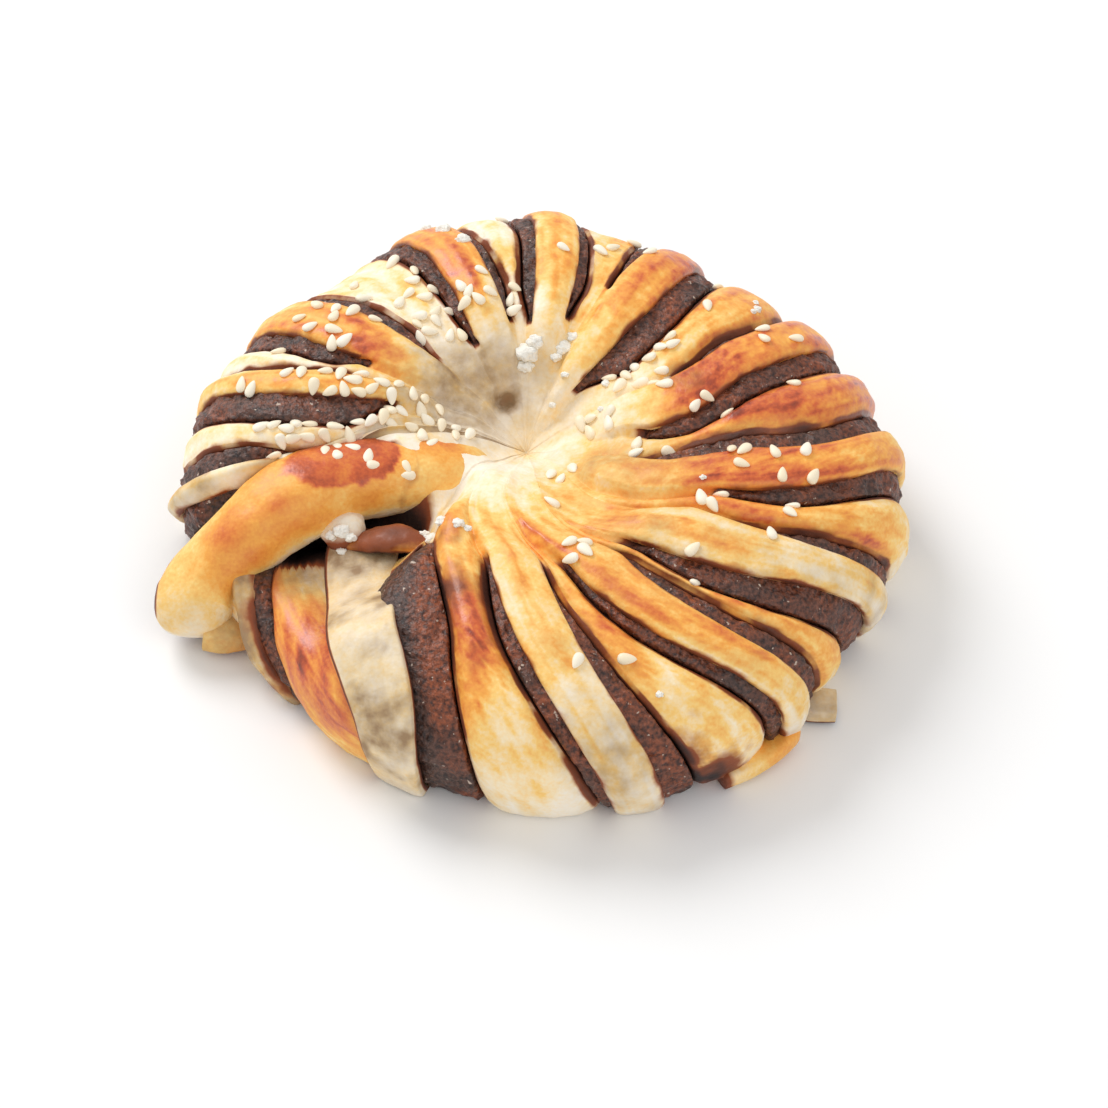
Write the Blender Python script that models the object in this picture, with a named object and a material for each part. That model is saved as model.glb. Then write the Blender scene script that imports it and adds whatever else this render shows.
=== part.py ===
"""A red bean bun: a ring of bread dough layered with sweet bean paste.

The ring is slit all the way round, so that raised strips of dough radiate from
the pinched middle. A layer of paste runs under each strip and shows as a dark
band on both sides of it, and puffed panels of dough fill the ring between the
bands. The ring's end, a thick arm of dough, lies over its start.

Everything is placed on one curved ground: an angle round the ring, in degrees
from +X, and a share s of the way from the pinch (0) over the crest and the rim
to the middle of the flat underside (1). Sizes are in millimetres until METRE.
"""

import math
import random
from collections import namedtuple

import bmesh
import bpy
from mathutils import Matrix, Vector

METRE = 0.001

# The ring, with a station every 30 degrees counter-clockwise from +X
RIM_RADIUS = (63, 62.5, 60.5, 66, 65.5, 65, 66.5, 60, 61, 63.5, 63.3, 59.3)
CREST_HEIGHT = (30, 31, 31.2, 34, 33, 31.5, 31, 27, 27, 28, 28, 29)
CREST_PLACE = (0.60, 0.60, 0.62, 0.62, 0.62, 0.62, 0.60, 0.55, 0.55, 0.55, 0.56, 0.58)
PINCH = Vector((-5.0, 8.0))     # where the strips meet, off the ring's centre
WELL_HEIGHT = 17.0              # of the dough in the pinched middle
RIM_HEIGHT = 11.0               # of the ring's widest line
FOOT_INSET = 5.0                # of the flat underside's edge, from the rim
# How blunt the ring's section is, as powers
INNER_RISE = 2.2
SHOULDER_OUT = 0.95
SHOULDER_DOWN = 0.85
UNDERCUT = 1.1

# Shares of the way s at the ring's main lines
CREST_S = 0.45
RIM_S = 0.75
FOOT_S = 0.90

# Layers of a strip, as heights over the ground
PANEL_ROUND = 0.3               # of a panel's width, that its puff is at most
PANEL_EDGE = 0.4
BED_FLOOR = -1.8
PASTE_MIDDLE = -0.35
PASTE_THICKNESS = 1.5
STRIP_MIDDLE = 2.8
STRIP_THICKNESS = 3.0
STRIP_CROWN = 0.7               # how far a strip's back is arched
STRIP_BACK = 1.6                # the back over the strip's middle, where seeds lie on it
STRIP_SUNK = -1.9               # a strip's end, under the surface it grows from
STRIP_SQUARENESS = 0.55         # of a strip's section: 1 is round, 0 a rectangle
FLAT_SQUARENESS = 0.5           # of the paste's, the slab's and the tail's
LIMB_SQUARENESS = 0.8           # of the arm's
BED_GAP = 0.70                  # between the paste and the dough beside it
BED_SLOPE = 0.6                 # how far a bed's wall leans outward
ROOMY = 2.0                     # strips with a half width under this have narrower beds
PASTE_INSET = 1.0               # of the paste's edge under a strip that isn't slit yet
LOWEST = 0.35                   # strips and paste stay this far off the floor

# Where the bed of paste ends, as shares of the way
PASTE_END_S = 0.81
BED_END_S = 0.86
# From a slit's tip, as shares of the way: where the strip's root is sunk and where it has risen,
# where the bed starts and where it is full depth, and where the slit starts and is fully open
ROOT_SUNK, ROOT_RISEN = -0.14, -0.05
BED_SHUT, BED_DEEP = -0.09, -0.045
SLIT_SHUT, SLIT_OPEN = -0.02, 0.12

# Shares of the way at the first and the last of the four values in a strip's entries
FIRST_STATION = 0.25
LAST_STATION = 0.85

# heading: degrees; width, left, right: of the strip and the paste on its sides;
# tips: where the slits on its sides start; end: where the strip ends
Strip = namedtuple("Strip", "name heading width left right tips end")
TUCKED = 0.895
TUCK_S = 0.84                   # where a strip turns in under the rim
STRIPS = (
    Strip("start", (190, 192.5, 197.5, 221), (1, 1, 5, 7), (0.3, 0.3, 0.3, 0.3), (1, 1.5, 4, 5.5), (0.58, 0.56), TUCKED),
    Strip("broad", (228, 236, 250.5, 255.5), (1, 2, 3, 3), (1, 4, 2.5, 2), (2, 7, 5, 5.5), (0.46, 0.45), TUCKED),
    Strip("front", (246, 264.5, 279.3, 286.5), (3.5, 9.3, 9.9, 9), (0.5, 2.4, 3.1, 2), (0.3, 0.9, 4.7, 6), (0.44, 0.43), 0.875),
    Strip("front_right", (266, 287, 308.8, 316), (4, 9.3, 7.3, 7), (0.5, 1.8, 3, 2.5), (0.5, 3.2, 4, 4), (0.43, 0.40), 0.86),
    Strip("right_low", (288, 313.7, 334.5, 345), (6, 11.4, 8.7, 7.3), (0.5, 2.6, 7, 7), (0.5, 1, 3.6, 3.5), (0.40, 0.47), 0.86),
    Strip("right", (320, 342, 366.5, 375), (7.7, 10.8, 9.4, 8.6), (0.3, 4, 5.6, 5), (5, 4.6, 5, 5), (0.44, 0.25), TUCKED),
    Strip("right_high", (368.5, 385.3, 396.5, 401.5), (10, 8.4, 9.4, 9.5), (3.5, 4.2, 4.6, 4.5), (0.6, 1.4, 1.4, 1), (0.22, 0.30), TUCKED),
    Strip("back_right", (422.5, 424.5, 426.5, 427.5), (6.5, 9.2, 8.3, 8), (5.2, 5.4, 4.2, 3.8), (0.3, 0.8, 4.5, 5), (0.14, 0.40), TUCKED),
    Strip("back", (447.5, 449, 454, 455.5), (6, 8.2, 8.3, 8), (1.8, 2, 1.6, 2), (2.4, 2.6, 3.8, 4), (0.27, 0.24), TUCKED),
    Strip("back_left", (474.5, 475, 477.5, 479), (7.4, 8.5, 10, 10), (1.5, 1.8, 1.5, 1.5), (1.4, 2.8, 5.8, 6), (0.25, 0.22), TUCKED),
    Strip("left_high", (515.2, 513, 510, 509), (6.6, 10.5, 9.4, 9), (2.2, 2.7, 2.4, 2), (0.8, 3.2, 4, 4.5), (0.24, 0.36), TUCKED),
    Strip("left", (534, 534, 528.5, 522), (3.5, 6, 5, 5.5), (0.3, 0.4, 0.5, 0.5), (2.5, 5.5, 5.6, 3.5), (0.38, 0.28), TUCKED),
    Strip("prong", (545.5, 551.5, 549.5, 538), (1, 1, 4, 4), (0.3, 1, 4.8, 3), (0.3, 0.3, 0.6, 2.5), (0.46, 0.70), TUCKED),
)
# How far the panel after each strip puffs up
PANEL_PUFFS = (2, 2, 0.8, 1.2, 2, 2, 2, -0.3, 1, -0.8, 1, 0.6, 1)
# Where the arm covers a strip's root, its paste starts further out
PASTE_START = {"start": 0.74, "broad": 0.60, "prong": 0.67}

# The dip in the ring's start, which the arm lies over
DIP_DEPTH = 11.0
DIP_ANGLE = 213.0
DIP_REACH = 26.0                # degrees to each side
DIP_S = (0.30, 0.80)
DIP_SLOPES = (0.12, 0.22)       # of its inner and its outer end, as shares of the way
DIP_FLAT = 0.35                 # the share of its reach that has its full depth

# Pits in the dip, along the arm's near side: x, y, reach and depth
PITS = ((-44, -13, 6, 14), (-52, -18, 5.5, 12), (-36, -10, 5, 8), (-26, -14, 5, 6), (-18, -10, 4.5, 4))

# The broad strip is a slab that runs aslant over the ring's start, over the bed named after it:
# its middle line as angles and shares, its width, thickness and lift
SLAB_PATH = (
    (210, 0.45), (215, 0.485), (222, 0.525), (230, 0.565), (236, 0.60),
    (241.5, 0.64), (245.5, 0.69), (247.5, 0.76), (248.5, 0.83), (249, 0.885),
)
SLAB_WIDTH = (12.5, 12.8, 12.8, 12.5, 12.3, 12, 11.5, 10.5, 9, 8)
SLAB_THICKNESS = 2.4
SLAB_LIFT = 2.7
SLAB_BEND = 45.0                # the radius that it is bent to across its width
SLAB_RINGS = 12

# The arm: its middle line, its half width and half height from root to tip
ARM_ROUTE = (
    (-8, -1, 14), (-14.5, -2, 19), (-21.5, -3, 21.8), (-30, -5.5, 22.3), (-38, -8.5, 22.5),
    (-46, -12, 22), (-53.5, -15.5, 18.5), (-59.5, -17.5, 13), (-63.5, -21, 8.5), (-64.5, -26, 5.2),
)
ARM_HALF_WIDTH = (5, 6, 6.8, 7.6, 8.2, 8.6, 6.8, 6.8, 7.2, 6.6)
ARM_HALF_HEIGHT = (4, 5.2, 5.8, 6.2, 6.4, 7, 7, 6.5, 5.8, 4.6)

# From this share of its route on, a limb narrows by this share of its width
LIMB_TIP = 0.90
LIMB_BLUNT = 0.5

# The fold under the arm's tip, and the knob of dough that the arm rests on
LOBE_ROUTE = ((-62, -25, 4.2), (-59, -27, 3.8), (-56, -27.5, 3.5), (-53, -27, 3.0))
LOBE_HALF_WIDTH = (4.2, 4.2, 4.0, 3.2)
LOBE_HALF_HEIGHT = (3.4, 3.3, 3.1, 2.6)
KNOB_PLACE = Vector((-36, -16.5, 19.0))
KNOB_SIZE = Vector((3.6, 3.4, 3.6))

# The loose tail of dough that lies on the floor in front on the right
TAIL_ROUTE = ((37, -31.5, 1.9), (42, -35.2, 1.95), (47, -36.2, 2.0), (52, -36.4, 2.0))
TAIL_HALF_WIDTH = (3.1, 3.1, 3.1, 2.9)
TAIL_HALF_HEIGHT = (1.45, 1.5, 1.6, 1.5)

# Sesame seeds
SEED_LENGTH = 3.2
SEED_WIDTH = 1.9
SEED_THICKNESS = 1.2
SEED_SUNK = 0.30                # of the thickness, in the dough
SEED_CLEAR = 1.5                # from a seed's middle to the edge of the dough it lies on
SEED_APART = 3.3
SEED_TRIES = 60                 # throws for each seed that is wanted
# patches of seeds: angle, s, spread in degrees, spread in s, how many
SEED_PATCHES = (
    (172, 0.52, 16, 0.13, 19), (150, 0.55, 16, 0.12, 11), (118, 0.45, 14, 0.12, 10),
    (95, 0.35, 14, 0.10, 6), (45, 0.27, 14, 0.10, 8), (20, 0.50, 30, 0.12, 10),
    (345, 0.42, 26, 0.14, 9), (300, 0.50, 30, 0.12, 5),
)
# places on the arm: share of the route, and share across, from the far side (-1)
ARM_SEEDS = ((0.38, -0.55), (0.42, -0.30), (0.41, 0.0), (0.44, -0.60), (0.35, 0.20), (0.34, 0.55), (0.26, 0.7))
RANDOM_SEED = 12

# Mesh densities
BED_COLUMNS = 4
PANEL_COLUMNS = 3
BODY_ROWS = 22
RIBBON_SIDES = 8
STRIP_RINGS = 12
PASTE_RINGS = 11
ARM_SIDES = 12
ARM_RINGS = 14
SHORT_LIMB_RINGS = 6


def smooth_step(low, high, value):
    x = min(max((value - low) / (high - low), 0.0), 1.0)
    return x * x * (3 - 2 * x)


def spline(before, start, end, after, t):
    """A Catmull-Rom step from start to end, for numbers or vectors."""
    return 0.5 * (
        2 * start + (end - before) * t + (2 * before - 5 * start + 4 * end - after) * t**2
        + (3 * start - before - 3 * end + after) * t**3
    )


def around(values, angle):
    """A smooth reading of equally spaced stations round the ring."""
    count = len(values)
    place = (angle / 360 * count) % count
    i = int(place)
    near = [values[(i + k) % count] for k in (-1, 0, 1, 2)]
    return spline(*near, place - i)


def along(values, t):
    """A smooth reading of equally spaced values from root to tip."""
    last = len(values) - 1
    place = min(max(t, 0.0), 1.0) * last
    i = min(int(place), last - 1)
    near = [values[min(max(i + k, 0), last)] for k in (-1, 0, 1, 2)]
    return spline(*near, place - i)


def through(values, s):
    """A smooth reading of four values, equally spaced from FIRST_STATION to LAST_STATION."""
    return along(values, (s - FIRST_STATION) / (LAST_STATION - FIRST_STATION))


def ground_profile(angle, s):
    """The share of the way from the pinch to the rim, seen from above, and the height."""
    crest, crest_place = around(CREST_HEIGHT, angle), around(CREST_PLACE, angle)
    inset = FOOT_INSET / around(RIM_RADIUS, angle)
    if s <= CREST_S:
        t = s / CREST_S
        return crest_place * t, WELL_HEIGHT + (crest - WELL_HEIGHT) * (1 - (1 - t) ** INNER_RISE)
    if s <= RIM_S:
        turn = (s - CREST_S) / (RIM_S - CREST_S) * math.pi / 2
        out = crest_place + (1 - crest_place) * math.sin(turn) ** SHOULDER_OUT
        return out, RIM_HEIGHT + (crest - RIM_HEIGHT) * max(math.cos(turn), 0.0) ** SHOULDER_DOWN
    if s <= FOOT_S:
        turn = (s - RIM_S) / (FOOT_S - RIM_S) * math.pi / 2
        return 1 - inset * (1 - math.cos(turn)), RIM_HEIGHT * (1 - math.sin(turn) ** UNDERCUT)
    return (1 - inset) * (1 - s) / (1 - FOOT_S), 0.0


def dip(angle, s):
    """How far the ring's start lies lower, under the arm."""
    off = abs((angle - DIP_ANGLE + 180) % 360 - 180) / DIP_REACH
    (low, high), (inner, outer) = DIP_S, DIP_SLOPES
    across = 1 - smooth_step(DIP_FLAT, 1.0, off)
    fall = DIP_DEPTH * across * smooth_step(low, low + inner, s) * (1 - smooth_step(high - outer, high, s))
    place = ground(angle, s)
    pits = sum(
        depth * math.exp(-(((place.x - x) / reach) ** 2) - ((place.y - y) / reach) ** 2)
        for x, y, reach, depth in PITS
    )
    return fall + pits * (1 - smooth_step(CREST_S, RIM_S, s))


def ground(angle, s):
    out, height = ground_profile(angle, s)
    radius = around(RIM_RADIUS, angle)
    turn = math.radians(angle)
    rim = Vector((radius * math.cos(turn), radius * math.sin(turn)))
    flat = PINCH + (rim - PINCH) * out
    return Vector((flat.x, flat.y, height))


def outward(angle, s):
    """The ground's outward direction."""
    step = 0.004
    round_the_ring = ground(angle + 1, s) - ground(angle - 1, s)
    downhill = ground(angle, min(s + step, 1)) - ground(angle, max(s - step, 0.001))
    return downhill.cross(round_the_ring).normalized()


def lifted(angle, s, lift, lowest=0.0):
    """The point this far over the ground, never under the given height."""
    point = ground(angle, s) + outward(angle, s) * (lift - dip(angle, s))
    point.z = max(point.z, lowest)
    return point


def degrees_for(width, angle, s):
    """The degrees round the ring that this many millimetres take."""
    out, _ = ground_profile(angle, min(max(s, FIRST_STATION), RIM_S))
    return math.degrees(width / (out * around(RIM_RADIUS, angle)))


def paste_side(strip, side, s):
    """The millimetres of paste past the strip's left (0) or right (1) edge: inside it before the slit's tip."""
    tip = strip.tips[side]
    width = through(strip.right if side else strip.left, s)
    shown = smooth_step(tip + SLIT_SHUT, tip + SLIT_OPEN, s)
    inset = min(PASTE_INSET, through(strip.width, s) / 4)
    return width * shown - inset * (1 - shown)


def edges(strip, s, spare=0.0):
    """The angles of the paste's left edge, the strip's left, its middle, its right and the paste's right."""
    middle = through(strip.heading, s)
    half = through(strip.width, s) / 2
    left, right = paste_side(strip, 0, s), paste_side(strip, 1, s)
    spare *= min(half / ROOMY, 1)
    places = (-half - left - spare, -half, 0, half, half + right + spare)
    return [middle + degrees_for(p, middle, s) for p in places]


def bed_open(strip, s):
    """How deep the bed of paste is, from 0 to 1: it closes at both ends."""
    tip = min(strip.tips)
    return smooth_step(tip + BED_SHUT, tip + BED_DEEP, s) * (1 - smooth_step(BED_END_S, TUCKED, s))


def panel_edges(index, s):
    """The angles where the panel after this strip starts and ends."""
    start = edges(STRIPS[index], s, BED_GAP + BED_SLOPE)[4]
    end = edges(STRIPS[(index + 1) % len(STRIPS)], s, BED_GAP + BED_SLOPE)[0]
    return (start - 360 if index == len(STRIPS) - 1 else start), end


def panel_fade(s):
    """How far the panels stand out, from 0 at the pinch and the foot to 1."""
    return smooth_step(0.02, FIRST_STATION, s) * (1 - smooth_step(TUCK_S, TUCKED, s))


def panel_lift(index, share, s):
    """The puff of a panel, at a share of its width from one band to the next."""
    start, end = panel_edges(index, s)
    width = (end - start) / degrees_for(1.0, start, s)
    puff = min(PANEL_PUFFS[index], PANEL_ROUND * width)
    return (PANEL_EDGE + puff * (1 - (2 * share - 1) ** 4)) * panel_fade(s)


def shape_column(column, s):
    """The angle and lift of a column of the ring's mesh: a bed's, then its panel's."""
    index, place = divmod(column, BED_COLUMNS + PANEL_COLUMNS)
    strip = STRIPS[index]
    if place >= BED_COLUMNS:
        start, end = panel_edges(index, s)
        share = (place - BED_COLUMNS + 1) / (PANEL_COLUMNS + 1)
        return start + (end - start) * share, panel_lift(index, share, s)
    on_lip = place in (0, BED_COLUMNS - 1)
    spare = BED_GAP + (BED_SLOPE if on_lip else 0.0)
    angle = edges(strip, s, spare)[0 if place < BED_COLUMNS / 2 else 4]
    if on_lip:
        return angle, PANEL_EDGE * panel_fade(s)
    return angle, BED_FLOOR * bed_open(strip, s)


def new_object(name, mesh_data, collection, material):
    mesh = bpy.data.meshes.new(name)
    mesh_data.to_mesh(mesh)
    mesh_data.free()
    mesh.transform(((METRE, 0, 0, 0), (0, METRE, 0, 0), (0, 0, METRE, 0), (0, 0, 0, 1)))
    mesh.materials.append(material)
    made = bpy.data.objects.new(name, mesh)
    collection.objects.link(made)
    return made


def new_material(name, colour, roughness):
    material = bpy.data.materials.new(name)
    material.use_nodes = True
    shader = material.node_tree.nodes["Principled BSDF"]
    shader.inputs["Base Color"].default_value = (*colour, 1)
    shader.inputs["Roughness"].default_value = roughness
    shader.inputs["Metallic"].default_value = 0.0
    material.diffuse_color = (*colour, 1)
    return material


def ring_mesh():
    """A sphere whose meridians follow the slits: its top is the pinch, its bottom the underside."""
    columns = len(STRIPS) * (BED_COLUMNS + PANEL_COLUMNS)
    ring = bmesh.new()
    bmesh.ops.create_uvsphere(ring, u_segments=columns, v_segments=BODY_ROWS, radius=1)
    last_shaped = BODY_ROWS - 2
    for vertex in ring.verts:
        polar = math.acos(min(max(vertex.co.z, -1), 1)) / math.pi
        row = round(polar * BODY_ROWS)
        if row <= last_shaped:
            s = FOOT_S * row / last_shaped
        else:
            s = FOOT_S + (1 - FOOT_S) * (row - last_shaped) / (BODY_ROWS - last_shaped)
        turn = math.atan2(vertex.co.y, vertex.co.x) / (2 * math.pi)
        column = round(turn * columns) % columns
        angle, lift = shape_column(column, s)
        if row == 0 or s >= FOOT_S:
            lift = 0.0
        vertex.co = lifted(angle, s, lift)
    return ring


def tube(sides, rings):
    """A capped tube along +Z from 0 to 1, with rings along it."""
    made = bmesh.new()
    bmesh.ops.create_cone(made, cap_ends=True, segments=sides, radius1=1, radius2=1, depth=1)
    long_edges = [e for e in made.edges if abs(e.verts[0].co.z - e.verts[1].co.z) > 0.5]
    bmesh.ops.subdivide_edges(made, edges=long_edges, cuts=rings - 1)
    bmesh.ops.translate(made, verts=made.verts, vec=(0, 0, 0.5))
    return made


def flattened(vertex, sides, squareness):
    """A tube's vertex as shares across and up, with its round section made squarer."""
    turn = math.atan2(vertex.co.y, vertex.co.x) + math.pi / sides
    across, up = math.cos(turn), math.sin(turn)
    return (
        math.copysign(abs(across) ** squareness, across),
        math.copysign(abs(up) ** squareness, up),
    )


def strip_lift(strip, s):
    """The height of a strip's middle: it grows out of the dough and tucks in under the rim."""
    tip = min(strip.tips)
    risen = smooth_step(tip + ROOT_SUNK, tip + ROOT_RISEN, s)
    if strip.end == TUCKED:
        risen *= 1 - smooth_step(TUCK_S, TUCKED, s)
    return STRIP_SUNK + (STRIP_MIDDLE - STRIP_SUNK) * risen


def strip_mesh(strip):
    made = tube(RIBBON_SIDES, STRIP_RINGS)
    first = min(strip.tips) + ROOT_SUNK
    for vertex in made.verts:
        ring = round(vertex.co.z * STRIP_RINGS)
        s = first + (TUCK_S - first) * ring / (STRIP_RINGS - 1)
        if ring == STRIP_RINGS:
            s = strip.end
        across, up = flattened(vertex, RIBBON_SIDES, STRIP_SQUARENESS)
        _, left, middle, right, _ = edges(strip, s)
        angle = middle + (right - left) / 2 * across
        lift = strip_lift(strip, s) + up * STRIP_THICKNESS / 2 + STRIP_CROWN * (1 - across**2)
        vertex.co = lifted(angle, s, lift, LOWEST)
    return made


def slab_mesh():
    """The broad strip, from under the arm to the foot."""
    made = tube(RIBBON_SIDES, SLAB_RINGS)
    path = [Vector(p) for p in SLAB_PATH]
    step = 0.02
    for vertex in made.verts:
        t = vertex.co.z
        across, up = flattened(vertex, RIBBON_SIDES, FLAT_SQUARENESS)
        angle, s = along(path, t)
        forward = lifted(*along(path, t + step), SLAB_LIFT) - lifted(*along(path, t - step), SLAB_LIFT)
        left = outward(angle, s).cross(forward).normalized()
        aside = across * along(SLAB_WIDTH, t) / 2
        lift = SLAB_LIFT + up * SLAB_THICKNESS / 2 - aside**2 / (2 * SLAB_BEND)
        vertex.co = lifted(angle, s, lift) + left * aside
        vertex.co.z = max(vertex.co.z, LOWEST)
    return made


def paste_mesh(strip):
    made = tube(RIBBON_SIDES, PASTE_RINGS)
    first = PASTE_START.get(strip.name, min(strip.tips))
    for vertex in made.verts:
        s = first + (PASTE_END_S - first) * vertex.co.z
        across, up = flattened(vertex, RIBBON_SIDES, FLAT_SQUARENESS)
        left, _, _, _, right = edges(strip, s)
        angle = (left + right) / 2 + (right - left) / 2 * across
        lift = PASTE_MIDDLE + up * PASTE_THICKNESS / 2
        vertex.co = lifted(angle, s, lift, 2 * LOWEST)
    return made


def route_frame(route, t):
    """A route's point, with the level direction to its left and the one upward."""
    points = [Vector(p) for p in route]
    step = 0.02
    forward = along(points, t + step) - along(points, t - step)
    left = Vector((0, 0, 1)).cross(forward).normalized()
    up = forward.cross(left).normalized()
    return along(points, t), left, up


def limb_point(route, half_width, half_height, t, across, up, lowest):
    middle, left, upward = route_frame(route, t)
    blunt = 1 - LIMB_BLUNT * smooth_step(LIMB_TIP, 1.0, t) ** 2
    point = middle + left * across * along(half_width, t) * blunt
    point += upward * up * along(half_height, t) * blunt
    point.z = max(point.z, lowest)
    return point


def limb_mesh(route, half_width, half_height, rings, squareness):
    """A limb of dough along a route, with a blunt tip."""
    made = tube(ARM_SIDES, rings)
    for vertex in made.verts:
        t = vertex.co.z
        across, up = flattened(vertex, ARM_SIDES, squareness)
        vertex.co = limb_point(route, half_width, half_height, t, across, up, LOWEST)
    return made


def dough_top(angle, s):
    """The lift of the dough's upper surface here, or None over paste or beside it."""
    clear = degrees_for(SEED_CLEAR, angle, s)
    for index, strip in enumerate(STRIPS):
        _, left, _, right, _ = edges(strip, s)
        start, end = panel_edges(index, s)
        for here in (angle - 360, angle, angle + 360):
            if left + clear < here < right - clear:
                return strip_lift(strip, s) + STRIP_BACK
            if start + clear < here < end - clear:
                column, rest = divmod((here - start) / (end - start) * (PANEL_COLUMNS + 1), 1)
                lifts = [panel_lift(index, (column + k) / (PANEL_COLUMNS + 1), s) for k in (0, 1)]
                return lifts[0] + (lifts[1] - lifts[0]) * rest
    return None


def over_arm(point):
    """Whether a point seen from above is on or near the arm."""
    route = [Vector(p) for p in ARM_ROUTE]
    steps = 20
    near = min((along(route, k / steps).xy - point.xy).length for k in range(steps + 1))
    return near < max(ARM_HALF_WIDTH) + SEED_LENGTH


def knob_mesh():
    made = bmesh.new()
    bmesh.ops.create_icosphere(made, subdivisions=2, radius=1)
    for vertex in made.verts:
        vertex.co = KNOB_PLACE + vertex.co * KNOB_SIZE
    return made


def seed_mesh(place, normal, heading):
    """One seed: an egg shape lying on the surface."""
    made = bmesh.new()
    bmesh.ops.create_icosphere(made, subdivisions=1, radius=0.5)
    turn = normal.to_track_quat("Z", "Y").to_matrix() @ Matrix.Rotation(heading, 3, "Z")
    for vertex in made.verts:
        x, y, z = vertex.co
        slim = 1 - 0.25 * x
        flat = Vector((x * SEED_LENGTH, y * SEED_WIDTH * slim, z * SEED_THICKNESS))
        vertex.co = place + turn @ flat
    return made


def seed_places():
    """Seeds spread at random in their patches, clear of the paste and of each other."""
    dice = random.Random(RANDOM_SEED)
    taken = []
    for angle, s, angle_spread, s_spread, count in SEED_PATCHES:
        tries = 0
        wanted = len(taken) + count
        while len(taken) < wanted and tries < SEED_TRIES * count:
            tries += 1
            a = angle + dice.uniform(-angle_spread, angle_spread)
            b = s + dice.uniform(-s_spread, s_spread)
            top = dough_top(a % 360, b)
            if top is None:
                continue
            place = lifted(a, b, top + SEED_THICKNESS * (0.5 - SEED_SUNK))
            if over_arm(place) or any((place - p).length < SEED_APART for p, _, _ in taken):
                continue
            taken.append((place, outward(a, b), dice.uniform(0, 2 * math.pi)))
    for t, across in ARM_SEEDS:
        up = (1 - abs(across) ** (2 / LIMB_SQUARENESS)) ** (LIMB_SQUARENESS / 2)
        _, left, upward = route_frame(ARM_ROUTE, t)
        place = limb_point(ARM_ROUTE, ARM_HALF_WIDTH, ARM_HALF_HEIGHT, t, across, up, LOWEST)
        normal = (upward + left * across * 0.5).normalized()
        place += normal * SEED_THICKNESS * (0.5 - SEED_SUNK)
        taken.append((place, normal, dice.uniform(0, 2 * math.pi)))
    return taken


def keep_main_shell(mesh):
    """Fills the hollows that a union sealed, and drops loose scraps."""
    shells = bmesh.new()
    shells.from_mesh(mesh)
    bmesh.ops.triangulate(shells, faces=shells.faces)
    waiting = set(shells.faces)
    found = []
    while waiting:
        shell, next_faces = set(), {waiting.pop()}
        while next_faces:
            face = next_faces.pop()
            shell.add(face)
            plain_edges = [edge for edge in face.edges if len(edge.link_faces) == 2]
            near = {other for edge in plain_edges for other in edge.link_faces}
            next_faces |= near & waiting
            waiting -= near
        found.append(shell)
    found.sort(key=len)
    for shell in found[:-1]:
        bmesh.ops.delete(shells, geom=list(shell), context="FACES")
    shells.to_mesh(mesh)
    shells.free()


def join_all(body, collection):
    """One union of the ring with all that grows out of it or is stuck on it."""
    union = body.modifiers.new("join", "BOOLEAN")
    union.operation = "UNION"
    union.operand_type = "COLLECTION"
    union.collection = collection
    union.solver = "MANIFOLD"
    evaluated = body.evaluated_get(bpy.context.evaluated_depsgraph_get())
    joined = bpy.data.meshes.new_from_object(evaluated)
    body.modifiers.remove(union)
    body.data = joined
    keep_main_shell(joined)
    for grown in list(collection.objects):
        bpy.data.objects.remove(grown)
    bpy.data.collections.remove(collection)


def build():
    for old in list(bpy.data.objects):
        bpy.data.objects.remove(old)
    scene = bpy.context.scene
    parts = bpy.data.collections.new("red_bean_bun")
    grown = bpy.data.collections.new("grown")
    scene.collection.children.link(parts)
    scene.collection.children.link(grown)
    crust = new_material("golden_crust", (0.80, 0.50, 0.19), 0.45)
    paste = new_material("bean_paste", (0.045, 0.020, 0.014), 0.60)

    body = new_object("dough", ring_mesh(), parts, crust)
    for index, strip in enumerate(STRIPS):
        standing = slab_mesh() if strip.name == "broad" else strip_mesh(strip)
        new_object("strip_" + strip.name, standing, grown, crust)
        new_object(f"bean_paste_{index + 1:02d}", paste_mesh(strip), parts, paste)
    arm = limb_mesh(ARM_ROUTE, ARM_HALF_WIDTH, ARM_HALF_HEIGHT, ARM_RINGS, LIMB_SQUARENESS)
    new_object("arm", arm, grown, crust)
    lobe = limb_mesh(LOBE_ROUTE, LOBE_HALF_WIDTH, LOBE_HALF_HEIGHT, SHORT_LIMB_RINGS, LIMB_SQUARENESS)
    new_object("lobe", lobe, grown, crust)
    new_object("knob", knob_mesh(), grown, crust)
    tail = limb_mesh(TAIL_ROUTE, TAIL_HALF_WIDTH, TAIL_HALF_HEIGHT, SHORT_LIMB_RINGS, FLAT_SQUARENESS)
    new_object("tail", tail, grown, crust)
    for place, normal, heading in seed_places():
        new_object("seed", seed_mesh(place, normal, heading), grown, crust)
    join_all(body, grown)


build()
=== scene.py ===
# %% [markdown]
# # A red bean bun, from the outside in
#
# The real bun is a ring of soft white dough, rolled out, spread with sweet bean paste and folded.
# It is slit all the way round and pinched in the middle, so narrow strips of dough stand over dark
# bands of paste, with puffed panels between them. The ring's end, a thick arm, lies over its start.
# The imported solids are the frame: they fix the size and the place of every piece made here.

import math
import random
from collections import namedtuple

import bmesh
import bpy
import numpy as np
from mathutils import Matrix, Vector, noise
from mathutils.bvhtree import BVHTree


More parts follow.
